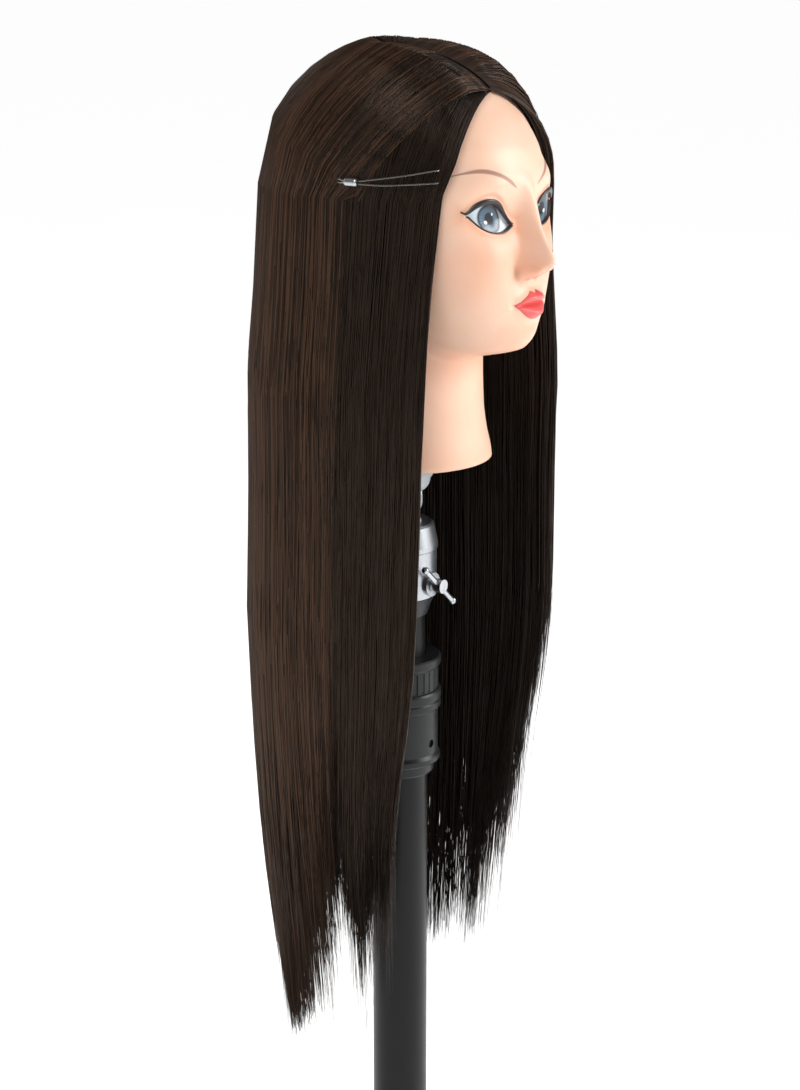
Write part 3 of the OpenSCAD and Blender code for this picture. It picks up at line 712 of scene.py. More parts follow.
@dataclass
class Face:
    """The moulded vinyl head: skin, lips, brows, lash lines and the two eyes."""

    form: HeadForm
    body: str = "head"

    def build_skin(self) -> bpy.types.Object:
        """The closed skin, finest over the face, with a rolled lower rim and a shut crown."""
        fine = np.arange(-52, 52.01, 0.52)
        coarse = np.arange(55, 305.01, 4.0)
        direction = np.concatenate([fine, coarse])
        height = np.concatenate([np.arange(0, 72, 3.0), np.arange(72, 206, 0.8), np.arange(206, 275, 1.8)])
        turn = (direction + 180) % 360 - 180
        d, h = np.meshgrid(turn, height)
        body = self.form.point(d, h)
        rim = [self.form.point(turn, np.full_like(turn, 0.4), lift) for lift in (-5.6, -5.2, -3.6, -1.0)]
        for ring, lower in zip(rim, (9.0, 0.6, -0.35, -0.3)):
            ring[:, 2] = (self.form.rim_z + lower) * MM
        rows = np.concatenate([np.stack(rim), body])
        middle_y = self.form.centre_y * MM
        ends = np.array([[0, middle_y, (self.form.rim_z + level) * MM] for level in (9.0, 275.6)])
        n, m = rows.shape[:2]
        ring = np.arange(m)
        floor = np.stack([ring, np.roll(ring, -1), np.full(m, n * m)], -1)
        crown = np.stack([np.roll(ring, -1) + (n - 1) * m, ring + (n - 1) * m, np.full(m, n * m + 1)], -1)
        skin = make_piece("head_skin", np.concatenate([rows.reshape(-1, 3), ends]),
                          [sheet_faces(n, m, ring=True, flip=True), floor[:, ::-1], crown[:, ::-1]])
        self._store_masks(skin, rows, n * m)
        skin.data.materials.append(VinylSkin().material())
        return skin

    def _store_masks(self, skin: bpy.types.Object, rows: Array, count: int) -> None:
        """Stores the blush_and_shade mask of painted blush and painted shade, and the deep mask of painted
        shade, from their own humps and the eye openings.
        """
        flat = rows.reshape(-1, 3) / MM
        x, h = flat[:, 0], flat[:, 2] - self.form.rim_z
        front = ease(20.0, 45.0, -flat[:, 1])
        side = np.abs(x)
        gap = self.form.opening(x, h)
        # Painted blush and painted shade from the humps, and painted shade in the hollows round the eye
        # openings.
        blush_and_shade = sum(hump.at(side, h) for hump in BLUSH_AND_SHADE_HUMPS) + 0.50 * bell(gap + 2.5, 4.5)
        # Painted shade along the sides towards the hair, under the jaw and at the foot of the neck.
        blush_and_shade += 0.30 * ease(66, 76, side) + 0.34 * bell(h - 70, 16) + 0.22 * bell(h - 6, 12)
        # Painted shade in the nostrils, beside the nose wings and inside the eye openings.
        deep = sum(hump.at(side, h) for hump in PAINTED_SHADE_HUMPS) + 0.7 * ease(0.1, 1.4, gap)
        pad = np.zeros(2)
        add_mask(skin, "blush_and_shade", np.concatenate([np.clip(blush_and_shade * front, 0, 1), pad]))
        add_mask(skin, "deep", np.concatenate([np.clip(deep * front, 0, 1), pad]))

    def _painted(self, name: str, x: Array, h: Array, lift: Array, paint: Paint) -> bpy.types.Object:
        """A thin closed plate of paint on the face.

        Args:
            name: the piece's name.
            x: grid of places across the face.
            h: grid of heights.
            lift: grid of how far the paint stands proud, least at its rim.
            paint: its finish.

        Returns:
            The new object.
        """
        top = self.form.point(self.form.direction_at(x, h), h, 0.0, False)
        under = top.copy()
        top[..., 1] -= lift * MM
        under[..., 1] += 1.0 * MM
        piece = face_plate(name, top, under)
        rim = 1 - np.clip((lift - lift.min()) / max(float(np.ptp(lift)), 1e-6), 0, 1)
        add_mask(piece, "rim", np.concatenate([rim.ravel(), rim.ravel()]))
        piece.data.materials.append(paint.material())
        return piece

    def build_lips(self) -> bpy.types.Object:
        """The painted lips: a bow above and a full arc below, both narrowing to the corners."""
        u = np.linspace(-1, 1, 121)[None, :]
        v = np.linspace(-1, 1, 61)[:, None]
        x = 17.5 * u + 0 * v
        bow = 8.6 * (1 - np.abs(u) ** 1.7) - 1.5 * bell(u, 0.12) + 0.6 * bell(np.abs(u) - 0.22, 0.14)
        arc = -10.2 * (1 - np.abs(u) ** 2.3)
        h = 116.0 + 0.5 * np.abs(u) ** 2
        h = h + np.where(v > 0, v * np.maximum(bow, 0.35), -v * np.minimum(arc, -0.35))
        edge = (1 - np.abs(v) ** 6) * (1 - np.abs(u) ** 10)
        return self._painted("lips", x, h, 0.02 + 0.42 * edge, LIPS)

    def build_brow(self, side: int) -> bpy.types.Object:
        """A thin painted brow: an arch that is highest past its middle and thins to both ends."""
        u = np.linspace(0, 1, 90)[None, :]
        v = np.linspace(-1, 1, 15)[:, None]
        x = 13.0 + 44.0 * u + 0 * v
        top = 0.62
        rise = np.sin(0.5 * np.pi * np.clip(u / top, 0, 1))
        arch = 192.5 + 12.0 * rise - 3.5 * np.clip((u - top) / (1 - top), 0, 1) ** 1.6
        thick = 1.35 * (ease(-0.10, 0.16, u) * (1 - ease(0.45, 1.02, u))) + 0.25
        h = arch + v * thick
        edge = (1 - np.abs(v) ** 4) * np.sin(np.pi * np.clip(u, 0.02, 0.98)) ** 0.3
        return self._painted(f"brow_{SIDES[side]}", side * x, h, 0.03 + 0.16 * edge, BROW)

    def build_lash(self, side: int, upper: bool) -> bpy.types.Object:
        """The dark line along a lid, thickest over the middle, with a flick past the outer corner."""
        form = self.form
        end = 1.16 if upper else 0.98
        along = np.linspace(-1.0, end, 110)[None, :] * form.eye_half
        v = np.linspace(0, 1, 13)[:, None]
        line = form.lid(along, upper)
        share = along / form.eye_half
        if upper:
            line = line + 2.2 * ease(0.92, 1.2, share)
            thick = 0.6 + 3.0 * ease(-1.15, -0.4, share) * (1 - 0.85 * ease(0.75, 1.16, share))
            across = line - 0.35 + v * thick
        else:
            thick = 0.35 + 1.0 * ease(0.0, -0.9, share) + 0.5 * ease(0.5, 0.98, share)
            across = line + 0.3 - v * thick
        x = form.eye_x + form.eye_tilt * along + 0 * v
        h = form.eye_h + form.eye_slant * along + across
        proud = (0.9 if upper else 0.35) * (1 - np.abs(2 * v - 1) ** 3) * (1 + 0 * along)
        name = f"lash_{'upper' if upper else 'lower'}_{SIDES[side]}"
        return self._painted(name, side * x, h, 1.0 + proud, LASH)

    def build_eye(self, side: int) -> bpy.types.Object:
        """One eye: a closed plate just behind the lids, with the masks of its printed picture.

        It follows the plain face, 2 mm below it at the lids and 0.7 mm below it in the middle,
        and reaches 1.2 mm past the opening on every side.
        """
        form = self.form
        reach = form.eye_half + 1.2
        along = np.linspace(-reach, reach, 96)[None, :] + np.zeros((64, 1))
        low, high = form.lid(along, False) - 1.2, form.lid(along, True) + 1.2
        up = low + (high - low) * np.linspace(0, 1, 64)[:, None]
        x = side * (form.eye_x + form.eye_tilt * along)
        h = form.eye_h + form.eye_slant * along + up
        skin = form.point(form.direction_at(x, h), h, 0.0, False)
        top, under = skin.copy(), skin.copy()
        top[..., 1] += (2.0 - 1.3 * bell(along, 15.0) * bell(up, 9.0)) * MM
        under[..., 1] += 5.0 * MM
        eye = face_plate(f"eye_{SIDES[side]}_print", top, under)
        self._store_eye(eye, along, up)
        eye.data.materials.append(PrintedEye().material())
        return eye

    def _store_eye(self, eye: bpy.types.Object, along: Array, up: Array) -> None:
        """Stores the eye's picture as masks by distance from the iris's middle, its flecks by angle, with
        painted shade under the upper lid and in the inner corner, painted light on the lower iris and two
        painted highlights.
        """
        x, y = (along.ravel() + 0.6) / 1.3, up.ravel() - 0.9
        gap = np.hypot(x, y)
        angle = np.arctan2(y, x)
        iris = 1 - ease(8.6, 9.3, gap)
        ring = bell(gap - 8.9, 0.8) * 0.9 + (1 - ease(3.7, 4.3, gap))
        # Painted shade: the top of the iris, the white under the upper lid and the inner corner are darkened.
        ring += 0.6 * ease(3.5, 9.0, y) * iris + 0.45 * ease(5, 11, y) + 0.8 * ease(-12.0, -17.0, x)
        spoke_and_light = 0.5 + 0.3 * np.sin(angle * 23) + 0.2 * np.sin(angle * 41 + 1)
        # The flecks fade out towards the top, so the lower iris is lighter: the iris's own flecks with painted
        # light.
        spoke_and_light = spoke_and_light * ease(4.0, 7.0, gap) * ease(6.0, -6.0, y)
        # Two painted highlights on the iris that stand for catch lights.
        painted_catch_light = 1 - ease(0.75, 1.05, np.hypot((x - 3.2) / 1.5, (y + 2.8) / 1.3))
        painted_catch_light += 0.9 * (1 - ease(0.7, 1.05, np.hypot((x + 2.9) / 0.9, (y - 3.2) / 1.0)))
        for name, mask in (("iris", iris), ("ring", ring), ("spoke_and_light", spoke_and_light), ("painted_catch_light", painted_catch_light)):
            add_mask(eye, name, np.concatenate([np.clip(mask, 0, 1), np.zeros_like(mask)]))

    def build(self) -> list[bpy.types.Object]:
        """Builds the head's pieces and fastens them to their body."""
        skin = self.build_skin()
        eyes = [self.build_eye(side) for side in (1, -1)]
        paint = [self.build_lips()]
        for side in (1, -1):
            paint += [self.build_brow(side), self.build_lash(side, True), self.build_lash(side, False)]
        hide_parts("head_shell")
        for eye, node in zip(eyes, ("eye_left", "eye_right")):
            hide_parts(node)
        pieces = [skin, *eyes, *paint]
        for piece in pieces:
            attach(piece, self.body)
        return pieces


# ---- Hair -----------------------------------------------------------------------------------


@dataclass
class Mane:
    """The space that the hair fills: a crown over the skull and a hanging curtain below it.

    A lock hangs in direction q, in degrees from the head's side towards the front (positive)
    or the back (negative). On the crown it follows a great circle from the parting to the
    widest level; below, it hangs on an oval whose half axes follow the height.
    """

    top_z: float
    middle_y: float = -6.6
    crown: Colour = (88.0, 108.0, 100.0)
    hang: tuple[float, float] = (100.0, 117.0)
    root_front: float = -0.66
    root_back: float = 0.10

    @property
    def mid_z(self) -> float:
        """Height of the widest level of the crown."""
        return self.top_z - self.crown[2]

    def oval(self, z: Array) -> tuple[Array, Array]:
        """Half width and half depth there: the crown's axes ease into the hanging ones, then draw in."""
        draw = np.interp(z, [285, 345, 410, 460, 520, 600, 700], [0.84, 0.89, 0.955, 0.985, 1.01, 1.03, 1.0])
        share = ease(self.mid_z, self.mid_z - 150, z)
        wide = (self.crown[0] + (self.hang[0] - self.crown[0]) * share) * draw
        deep = (self.crown[1] + (self.hang[1] - self.crown[1]) * share) * draw
        return wide, deep

    def over_crown(self, q: Array, root: Array, s: Array, sink: Array) -> Array:
        """Points on the crown; towards the front edge the sweep bows a little forward.

        Args:
            q: direction in which the lock will hang, in degrees.
            root: where it starts on the parting, as a share of the half depth.
            s: from 0 at the parting to 90 at the widest level.
            sink: how far under the surface, in millimetres.

        Returns:
            The points, on the head's right side, in millimetres.
        """
        turn, arc = np.radians(q), np.radians(s)
        x = np.cos(turn) * np.sin(arc)
        bow = 0.057 * np.sin(2 * arc) * np.minimum(1, np.cos(arc) / 0.45) * ease(10.0, 41.0, q)
        y = root + (-np.sin(turn) - root) * (1 - np.cos(arc)) - bow
        z = np.sqrt(np.clip(1 - x * x - y * y, 0, 1))
        wide, deep, high = (axis - sink for axis in self.crown)
        return np.stack([-wide * x, self.middle_y + deep * y, self.mid_z + high * z], -1)

    def hanging(self, q: Array, z: Array, sink: Array) -> Array:
        """Points of the hanging curtain, on the head's right side, in millimetres."""
        wide, deep = self.oval(z)
        turn = np.radians(q)
        return np.stack([-(wide - sink) * np.cos(turn), self.middle_y - (deep - sink) * np.sin(turn), z], -1)


@dataclass(frozen=True)
class Lock:
    """One bundle of strands: where it hangs, where its roots lie, how deep and how long it is."""

    name: str
    tone: HairTone
    strands: int
    side: int
    front: float
    back: float
    root_front_at: float
    depth: tuple[float, float]
    parting: float = 1.2
    seed: int = 1
    ragged: float = 1.0
    width: float = 0.44


@dataclass
class Hair:
    """All the strands, in bundles of one dye lot each, and the dark sheets of painted shade behind them."""

    mane: Mane
    body: str = "head"
    below: str = "stem"
    crown_rings: int = 10
    hang_rings: int = 10
    front: float = 41.0
    lock_pitch: float = 5.2
    long_lock: float = -37.0
    tip_limits: tuple[float, float] = (266.0, 640.0)

    def edge(self, z: Array) -> Array:
        """Direction of the hair's front edge by height: forward at the temple, further back below."""
        levels = [470, 554, 600, 688, 800, 844, 880, 900]
        return np.interp(z, levels, [26, 30.8, 32.2, 33.8, 35.6, 37.4, 39.6, self.front])

    def crown_sink(self, q: Array, s: Array, sink: Array) -> Array:
        """Depth over the crown: strands rise from the scalp to their own layer, slowest at the front edge."""
        rise = ease(0.0, 1.0, s / (20.0 + 60.0 * ease(25.0, self.front, q)))
        return sink + (10.5 - sink) * (1 - rise)

    def tip_height(self, q: Array, side: int) -> Array:
        """Mean height of the tips by direction: a long lock behind, a notch at the side, short in front."""
        if side < 0:
            q_at = [-90, -70, -56, -45, -37, -30, -24, -13, -7, 0, 4, 8, 10, 13, 18, 26, 34, 41]
            tips = [400, 372, 345, 305, 284, 296, 312, 350, 382, 435, 495, 495, 410, 380, 385, 397, 425, 470]
        else:
            q_at = [-90, -60, -30, -5, 12, 20, 27, 33, 40, 46]
            tips = [352, 340, 325, 325, 355, 362, 410, 460, 520, 560]
        return np.interp(q, q_at, tips)

    def root_share(self, lock: Lock, q: Array) -> Array:
        """Where a strand starts on the parting: the front of the bundle starts at the parting's front."""
        mane = self.mane
        share = (q + 35.0) / (lock.root_front_at + 35.0)
        forward = mane.root_back + (mane.root_front - mane.root_back) * np.clip(share, 0, 1)
        behind = mane.root_back + np.clip(-35.0 - q, 0, 60) * 0.0022
        return np.where(share > 0, forward, behind)

    def strand_paths(self, lock: Lock) -> tuple[Array, Array, Array]:
        """Paths, half widths and outward directions of a bundle's strands.

        Each strand crosses the crown and then hangs. Its direction wanders slowly, and below the
        shoulders it is drawn towards the middle of its own lock, so that the ends part into points.
        On the head's right the ends behind also close up to the one longest lock.

        Args:
            lock: the bundle.

        Returns:
            Paths and outward directions as strands by rings by 3 in metres, and half widths.
        """
        rng = np.random.default_rng(1000 + lock.seed)
        n, rings = lock.strands, self.crown_rings + self.hang_rings
        q0 = rng.uniform(lock.back, lock.front, n)
        sink0 = rng.uniform(*lock.depth, n)
        root = self.root_share(lock, q0) + rng.normal(0, 0.012, n)
        which = np.floor(q0 / self.lock_pitch)
        lock_q = (which + 0.5) * self.lock_pitch
        lock_rng = np.random.default_rng(77 + (lock.side > 0))
        slot = (which.astype(int) + 32) % 64
        bias, reach = lock_rng.normal(0, 1, 64)[slot], lock_rng.normal(0, 20, 64)[slot]
        tip = self.tip_height(q0, lock.side) + 0.5 * reach * lock.ragged
        tip = tip + rng.exponential(24 if lock.side < 0 else 58, n) * lock.ragged - 8
        tip = tip - 90 * rng.random(n) ** 6 * ease(290, 400, tip)
        tip = np.clip(tip, *self.tip_limits)
        s = np.linspace(0, 90, self.crown_rings)[None, :] + np.zeros((n, 1))
        fall = np.linspace(0, 1, self.hang_rings + 1)[None, 1:] ** 0.92
        z = self.mane.mid_z + (tip[:, None] - self.mane.mid_z) * fall
        wander = drift(rng, n, rings, 5) * 1.5
        gather = ease(600, 360, z) * 0.72
        q_low = q0[:, None] + (lock_q + bias * 0.9 - q0)[:, None] * gather
        if lock.side < 0:
            pull = 0.5 * ease(440, 290, z) * bell(q0 - self.long_lock, 16)[:, None]
            q_low = q_low + pull * (self.long_lock - q0[:, None])
        q_low = q_low + wander[:, self.crown_rings:] * (1 + 1.2 * ease(520, 340, z))
        q_low = np.where(q_low > 0, q_low * self.edge(z) / self.front, q_low)
        q_top = q0[:, None] + wander[:, : self.crown_rings] * np.linspace(0, 1, self.crown_rings) ** 1.5 * 0.8
        lie = drift(rng, n, rings, 6) * 1.1
        sink = np.maximum(sink0[:, None] + lie + 3.0 * ease(560, 380, np.concatenate(
            [np.full((n, self.crown_rings), 900.0), z], 1)) * rng.uniform(0, 1.6, (n, 1)), 0.2)
        crown_sink = self.crown_sink(q0[:, None], s, sink[:, : self.crown_rings])
        crown = self.mane.over_crown(q_top, root[:, None], s, crown_sink)
        crown[..., 0] -= lock.parting * np.cos(np.radians(s))
        low = self.mane.hanging(q_low, z, sink[:, self.crown_rings:])
        paths = np.concatenate([crown, low], 1)
        outward = paths - np.array([0.0, self.mane.middle_y, 0.0])
        outward[:, self.crown_rings:, 2] = 0
        outward[:, : self.crown_rings, 2] -= self.mane.mid_z
        if lock.side > 0:
            paths[..., 0] *= -1
            outward[..., 0] *= -1
        place = np.linspace(0, 1, rings)[None]
        taper = ease(0.0, 0.06, place) * 0.55 + 0.45
        taper = taper * (1 - 0.82 * ease(0.80, 1.0, place))
        radii = lock.width * rng.uniform(0.7, 1.25, (n, 1)) * taper
        return paths * MM, radii * MM, outward

    def build_lock(self, lock: Lock) -> bpy.types.Object:
        """Builds one bundle."""
        paths, radii, outward = self.strand_paths(lock)
        piece = swept_tubes(lock.name, paths, radii, outward)
        piece.data.materials.append(lock.tone.material())
        return piece

    def painted_shade_sheet(self, name: str, side: int, back: float, front: float) -> bpy.types.Object:
        """The closed dark sheet of painted shade inside the hair mass, which keeps light from showing between
        the strands.
        """
        q = np.linspace(front, back, 120)[None, :]
        s = np.linspace(0, 90, 16)[:, None]
        jag = np.random.default_rng(5 + side).uniform(-1, 1, 120)[None, :]
        low_z = (self.tip_height(q, side) + 120 if side < 0 else 610.0 + 0 * q) + 22 * jag
        z = self.mane.mid_z - 12 + (low_z - self.mane.mid_z + 12) * np.linspace(0, 1, 26)[:, None]
        lock = Lock(name, HairTone.BLACK, 0, side, front, back, front + 2.0, (0, 0))
        root = self.root_share(lock, q)
        hang_q = np.where(q > 0, q * self.edge(z) / self.front, q)
        sheets = []
        for sink in (7.2, 8.4):
            crown_sink = self.crown_sink(q, s, np.full_like(q + s, sink))
            crown = self.mane.over_crown(q + 0 * s, root + 0 * s, s, crown_sink)
            crown[..., 0] -= 1.0 * np.cos(np.radians(s))
            low = self.mane.hanging(hang_q, z, np.full_like(hang_q, sink + 1.0))
            sheets.append(np.concatenate([crown, low]) * MM)
        if side > 0:
            for sheet in sheets:
                sheet[..., 0] *= -1
        piece = slab_piece(name, sheets[0], sheets[1], flip=side < 0)
        # The sheet's black is painted shade standing for the shadow deep inside the hair.
        piece.data.materials.append(HairTone.BLACK.material())
        return piece

    def bundles(self) -> list[Lock]:
        """The bundles: each side's dark front fall, upper sweep and back fall, and flyaway strands."""
        # The deeper a bundle lies, the darker its tone, and the inner fills are black: partly the fibre's own
        # mix of tones, partly painted shade inside the hair.
        tones = HairTone
        near = [
            Lock("hair_right_front_dark", tones.BLACK, 1500, -1, 41, -6, 41, (1.2, 6.5), seed=1),
            Lock("hair_right_front_mid", tones.DARK, 900, -1, 41, -2, 41, (0.4, 3.0), seed=2),
            Lock("hair_right_sweep", tones.DARK, 1700, -1, 6, -92, 4, (0.6, 5.0), seed=3),
            Lock("hair_right_sweep_brown", tones.BROWN, 950, -1, 5, -90, 3, (0.2, 2.2), seed=4),
            Lock("hair_right_streaks", tones.CHESTNUT, 230, -1, 6, -70, 4, (0.0, 0.8), seed=5),
            Lock("hair_right_inner", tones.BLACK, 1300, -1, 38, -92, 41, (9.0, 15.0), seed=13),
        ]
        far = [
            Lock("hair_left_dark", tones.BLACK, 1700, 1, 46, -92, 46, (1.2, 8.0), seed=6),
            Lock("hair_left_mid", tones.DARK, 1600, 1, 46, -92, 46, (0.5, 4.5), seed=7),
            Lock("hair_left_brown", tones.BROWN, 700, 1, 46, -90, 46, (0.2, 2.2), seed=8),
            Lock("hair_left_streaks", tones.CHESTNUT, 180, 1, 45, -85, 46, (0.0, 0.8), seed=9),
            Lock("hair_left_inner", tones.BLACK, 1500, 1, 40, -92, 46, (9.0, 15.0), seed=14),
            Lock("hair_back_fill", tones.BLACK, 1200, -1, -30, -150, 4, (2.0, 9.0), seed=10),
        ]
        wisps = [
            Lock("hair_flyaway", tones.BROWN, 200, -1, 40, -92, 41, (-1.6, 0.6), seed=11, ragged=1.4,
                 width=0.2),
            Lock("hair_flyaway_left", tones.BROWN, 160, 1, 45, -92, 46, (-1.6, 0.6), seed=12, ragged=1.4,
                 width=0.2),
        ]
        return near + far + wisps

    def build(self) -> list[bpy.types.Object]:
        """Builds every bundle and the sheets of painted shade, and hides the CAD hair."""
        pieces = [self.build_lock(lock) for lock in self.bundles()]
        layers = [self.painted_shade_sheet("hair_shade_sheet_right", -1, -90.0, 39.0),
                  self.painted_shade_sheet("hair_shade_sheet_left", 1, -90.0, 43.0)]
        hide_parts("hair_right", "hair_back")
        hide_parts("hair_left")
        low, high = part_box("neck_plug")
        for piece in pieces + layers:
            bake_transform(piece)
        return pieces + layers


@dataclass
class Scalp:
    """The rooted base of the hair: a thin plate over the crown that shows along the parting."""

    form: HeadForm

    def build(self) -> list[bpy.types.Object]:
        """Builds the plate between the hairline and the crown, 1 mm proud of the vinyl."""
        direction = np.linspace(0, 360, 121)
        turn = (direction + 180) % 360 - 180
        line = np.interp(np.abs(turn), [0, 12, 23, 36, 43, 52, 80, 110, 180],
                         [253.5, 250.5, 243, 217, 198, 172, 140, 124, 104])
        v = np.linspace(0, 1, 40)[:, None]
        height = line[None] + (274.5 - line[None]) * v
        turned = np.broadcast_to(turn, height.shape)
        sheets = [self.form.point(turned, height, lift, False) for lift in (1.0, 0.2)]
        piece = slab_piece("scalp_base", sheets[0], sheets[1], flip=True)
        piece.data.materials.append(SCALP.material())
        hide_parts("scalp_cap")
        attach(piece, "head")
        return [piece]


@dataclass
class ElasticBand:
    """The clear elastic that holds the hair back, and the small metal crimp that joins its ends."""

    rim_z: float
    radius: float = 0.5
    level: float = 198.0
    inset: float = 0.04
    half: list[tuple[float, ...]] = field(default_factory=lambda: [
        (0, 94, -2, 2), (24, 91, -2, 2), (46, 82, -2, 2), (64, 66, -2, 2), (76, 45, -2, 2), (81.2, 22, -2, 2),
        (83, 6, -2, 2), (85.2, -8, -1.6, 1.6), (88.4, -18, -0.6, 0.6), (88.6, -24, -0.6, 0.6),
        (88, -30, -0.8, 1), (84.6, -46, -1, 3.4), (78, -62, 0, 6), (71.5, -71.5, 0.6, 8),
        (67, -75.6, 0.9, 8.7), (64, -75, 1.6, 8.2), (62.8, -72.5, 4, 6.4)])

    def route(self) -> Array:
        """The band's centre line: the listed half and its mirror image, joined by Catmull-Rom curves.

        Each listed point has its x and y, and the level at which the band passes it on the way
        out and on the way back from the temple, where it doubles back.
        Behind, it is drawn 4 per cent inwards, because the hair closes over it.

        Between two points the curve is the usual cubic of the four nearest points, at four steps.
        """
        points = np.array(self.half, float)
        half = np.concatenate([points[:, :3], points[::-1][:, [0, 1, 3]]])
        whole = np.concatenate([half, half[-2:0:-1] * np.array([-1.0, 1.0, 1.0])])
        whole[:, :2] *= 1 - self.inset * ease(0.0, 50.0, whole[:, 1:2])
        t = np.array([0.0, 0.25, 0.5, 0.75])[None, :, None]
        before, after, beyond = (np.roll(whole, k, 0)[:, None] for k in (1, -1, -2))
        here = whole[:, None]
        curve = here + 0.5 * t * (after - before) + t ** 2 * (before - 2.5 * here + 2 * after - 0.5 * beyond) \
            + t ** 3 * 0.5 * (3 * (here - after) + beyond - before)
        return (curve.reshape(-1, 3) + np.array([0.0, 0.0, self.rim_z + self.level])) * MM

    def build(self) -> list[bpy.types.Object]:
        """Builds the cord and its crimp and lets them stand for their CAD parts."""
        band = loop_tube("elastic_cord", self.route(), self.radius * MM)
        band.data.materials.append(ClearElastic().material())
        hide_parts("elastic_band")
        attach(band, "head")
        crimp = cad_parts["elastic_crimp"]
        crimp.data.materials.clear()
        crimp.data.materials.append(NICKEL.material())
        return [band, crimp]


# ---- Stand ----------------------------------------------------------------------------------


@dataclass
class Stand:
    """The tilting joint, the telescopic pole and the tripod, dressed in their finishes."""

    finishes: dict[str, Moulding] = field(default_factory=lambda: {
        "neck_plug": BLACK_PLASTIC, "neck_socket": DARK_PLASTIC, "foam_core": FOAM, "spigot": GREY,
        "tilt_fork": GREY, "tilt_bolt": NICKEL, "tilt_nut": NICKEL, "fork_screws": NICKEL,
        "swivel_stem": NICKEL, "stem_washer": NYLON, "swivel_socket": BRUSHED, "clamp_screw": NICKEL,
        "t_bar": NICKEL, "tube_cap": DARK_PLASTIC, "inner_tube": POWDER, "guide_plug": NYLON,
        "lock_nut": BLACK_PLASTIC, "collet": NYLON, "collar_body": BLACK_PLASTIC, "outer_tube": POWDER,
        "bottom_cap": BLACK_PLASTIC, "leg_hub": BLACK_PLASTIC, "hub_screw": NICKEL, "hub_knob": BLACK_PLASTIC,
        "leg_front": POWDER, "leg_left": POWDER, "leg_right": POWDER, "foot_front": RUBBER,
        "foot_left": RUBBER, "foot_right": RUBBER, "leg_pins": NICKEL})
    made: dict[str, bpy.types.Material] = field(default_factory=dict)

    def dress(self) -> list[bpy.types.Object]:
        """Gives every part of the stand its finish, one material per finish."""
        parts = []
        for node, finish in self.finishes.items():
            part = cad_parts[node]
            if finish.name not in self.made:
                self.made[finish.name] = finish.material()
            part.data.materials.clear()
            part.data.materials.append(self.made[finish.name])
            parts.append(part)
        return parts


# ---- Studio ---------------------------------------------------------------------------------


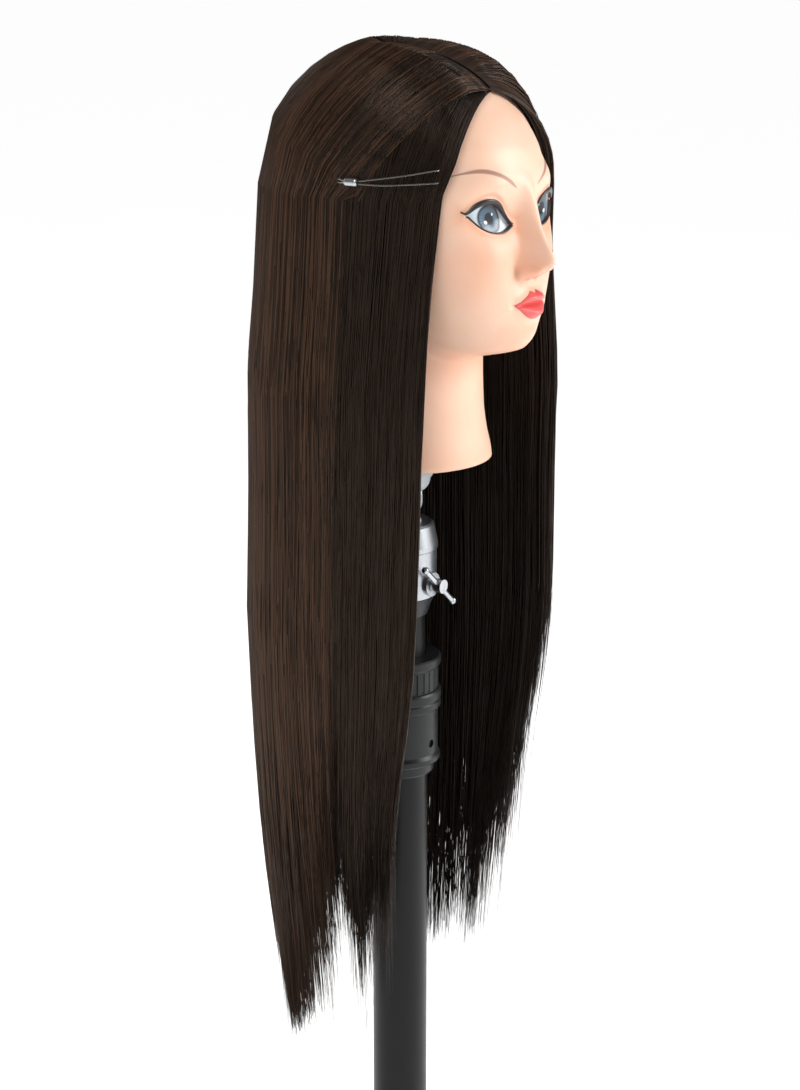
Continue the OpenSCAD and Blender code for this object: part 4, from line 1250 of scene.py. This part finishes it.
@dataclass
class Studio:
    """A white floor, soft lights and the camera."""

    azimuth: float = -55.0
    distance: float = 1.5
    height: float = 1.0872
    aim_z: float = 0.6462
    lens: float = 73.0
    surround: float = 0.2
    lamps: list[tuple[str, float, float, float, float, float]] = field(default_factory=lambda: [
        ("key", 32.0, 1.6, 2.4, 1.2, 52.0), ("fill", -85.0, 1.5, 2.6, 1.8, 3.5),
        ("rim", 165.0, 1.9, 2.4, 1.2, 12.0), ("top", -70.0, 2.6, 1.3, 0.8, 13.0)])

    def build_floor(self) -> None:
        """A wide pale floor under the feet."""
        grid = np.linspace(-60, 60, 25)
        x, y = np.meshgrid(grid, grid)
        points = np.stack([x, y, np.zeros_like(x) - 0.0005], -1).reshape(-1, 3)
        floor = make_piece("studio_floor", points, [sheet_faces(25, 25, flip=True)])
        paint = Painter("studio_floor")
        paint.set(Roughness=0.9, Emission_Color=(1.0, 1.0, 1.0), Emission_Strength=0.8)
        paint.colour(paint.blend(paint.noise(3.0), (0.88, 0.88, 0.88), (0.92, 0.92, 0.92)))
        floor.data.materials.append(paint.material)

    def light(self, name: str, azimuth: float, height: float, distance: float, size: float,
              power: float) -> None:
        """A square soft light that looks at the head.

        Args:
            name: its name.
            azimuth: degrees round the object, 0 in front of the face.
            height: metres above the floor.
            distance: metres from the pole.
            size: its edge in metres.
            power: its power in watts.
        """
        data = bpy.data.lights.new(name, "AREA")
        data.size, data.energy = size, power
        lamp = bpy.data.objects.new(name, data)
        turn = math.radians(azimuth)
        lamp.location = (math.sin(turn) * distance, -math.cos(turn) * distance, height)
        aim = Vector((0, 0, 0.8)) - lamp.location
        lamp.rotation_euler = aim.to_track_quat("-Z", "Y").to_euler()
        bpy.context.scene.collection.objects.link(lamp)

    def build_camera(self) -> None:
        """The camera at the head's right front, a little above it."""
        data = bpy.data.cameras.new("camera")
        data.lens, data.sensor_width, data.sensor_fit = self.lens, 36.0, "AUTO"
        data.clip_end = 50.0
        camera = bpy.data.objects.new("camera", data)
        turn = math.radians(self.azimuth)
        camera.location = (math.sin(turn) * self.distance, -math.cos(turn) * self.distance, self.height)
        aim = Vector((0, 0, self.aim_z)) - camera.location
        camera.rotation_euler = aim.to_track_quat("-Z", "Y").to_euler()
        bpy.context.scene.collection.objects.link(camera)
        bpy.context.scene.camera = camera

    def build(self) -> None:
        """Sets up the floor, the lights, the white surround and the camera."""
        self.build_floor()
        for lamp in self.lamps:
            self.light(*lamp)
        world = bpy.data.worlds.new("surround")
        world.use_nodes = True
        nodes, links = world.node_tree.nodes, world.node_tree.links
        soft = nodes["Background"]
        soft.inputs["Color"].default_value = (1.0, 1.0, 1.0, 1.0)
        soft.inputs["Strength"].default_value = self.surround
        white = nodes.new("ShaderNodeBackground")
        white.inputs["Color"].default_value = (1.0, 1.0, 1.0, 1.0)
        seen = nodes.new("ShaderNodeLightPath")
        mix = nodes.new("ShaderNodeMixShader")
        links.new(seen.outputs["Is Camera Ray"], mix.inputs[0])
        links.new(soft.outputs[0], mix.inputs[1])
        links.new(white.outputs[0], mix.inputs[2])
        links.new(mix.outputs[0], nodes["World Output"].inputs["Surface"])
        bpy.context.scene.world = world
        bpy.context.scene.view_settings.view_transform = "Standard"
        self.build_camera()


def report(group: str, pieces: list[bpy.types.Object]) -> None:
    """Logs each piece of a group with the number of its faces."""
    for piece in pieces:
        LOG.info("%s: %s, %d faces", group, piece.name, len(piece.data.polygons))


def main() -> None:
    """Builds the sub-assemblies in order and reports their pieces."""
    logging.basicConfig(level=logging.INFO, format="%(message)s")
    rim_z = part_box("neck_plug")[0].z / MM
    form = HeadForm(rim_z)
    mane = Mane(rim_z + 286.0)
    Studio().build()
    report("face", Face(form).build())
    report("scalp", Scalp(form).build())
    report("hair", Hair(mane).build())
    report("band", ElasticBand(rim_z).build())
    report("stand", Stand().dress())


if __name__ == "__main__":
    main()
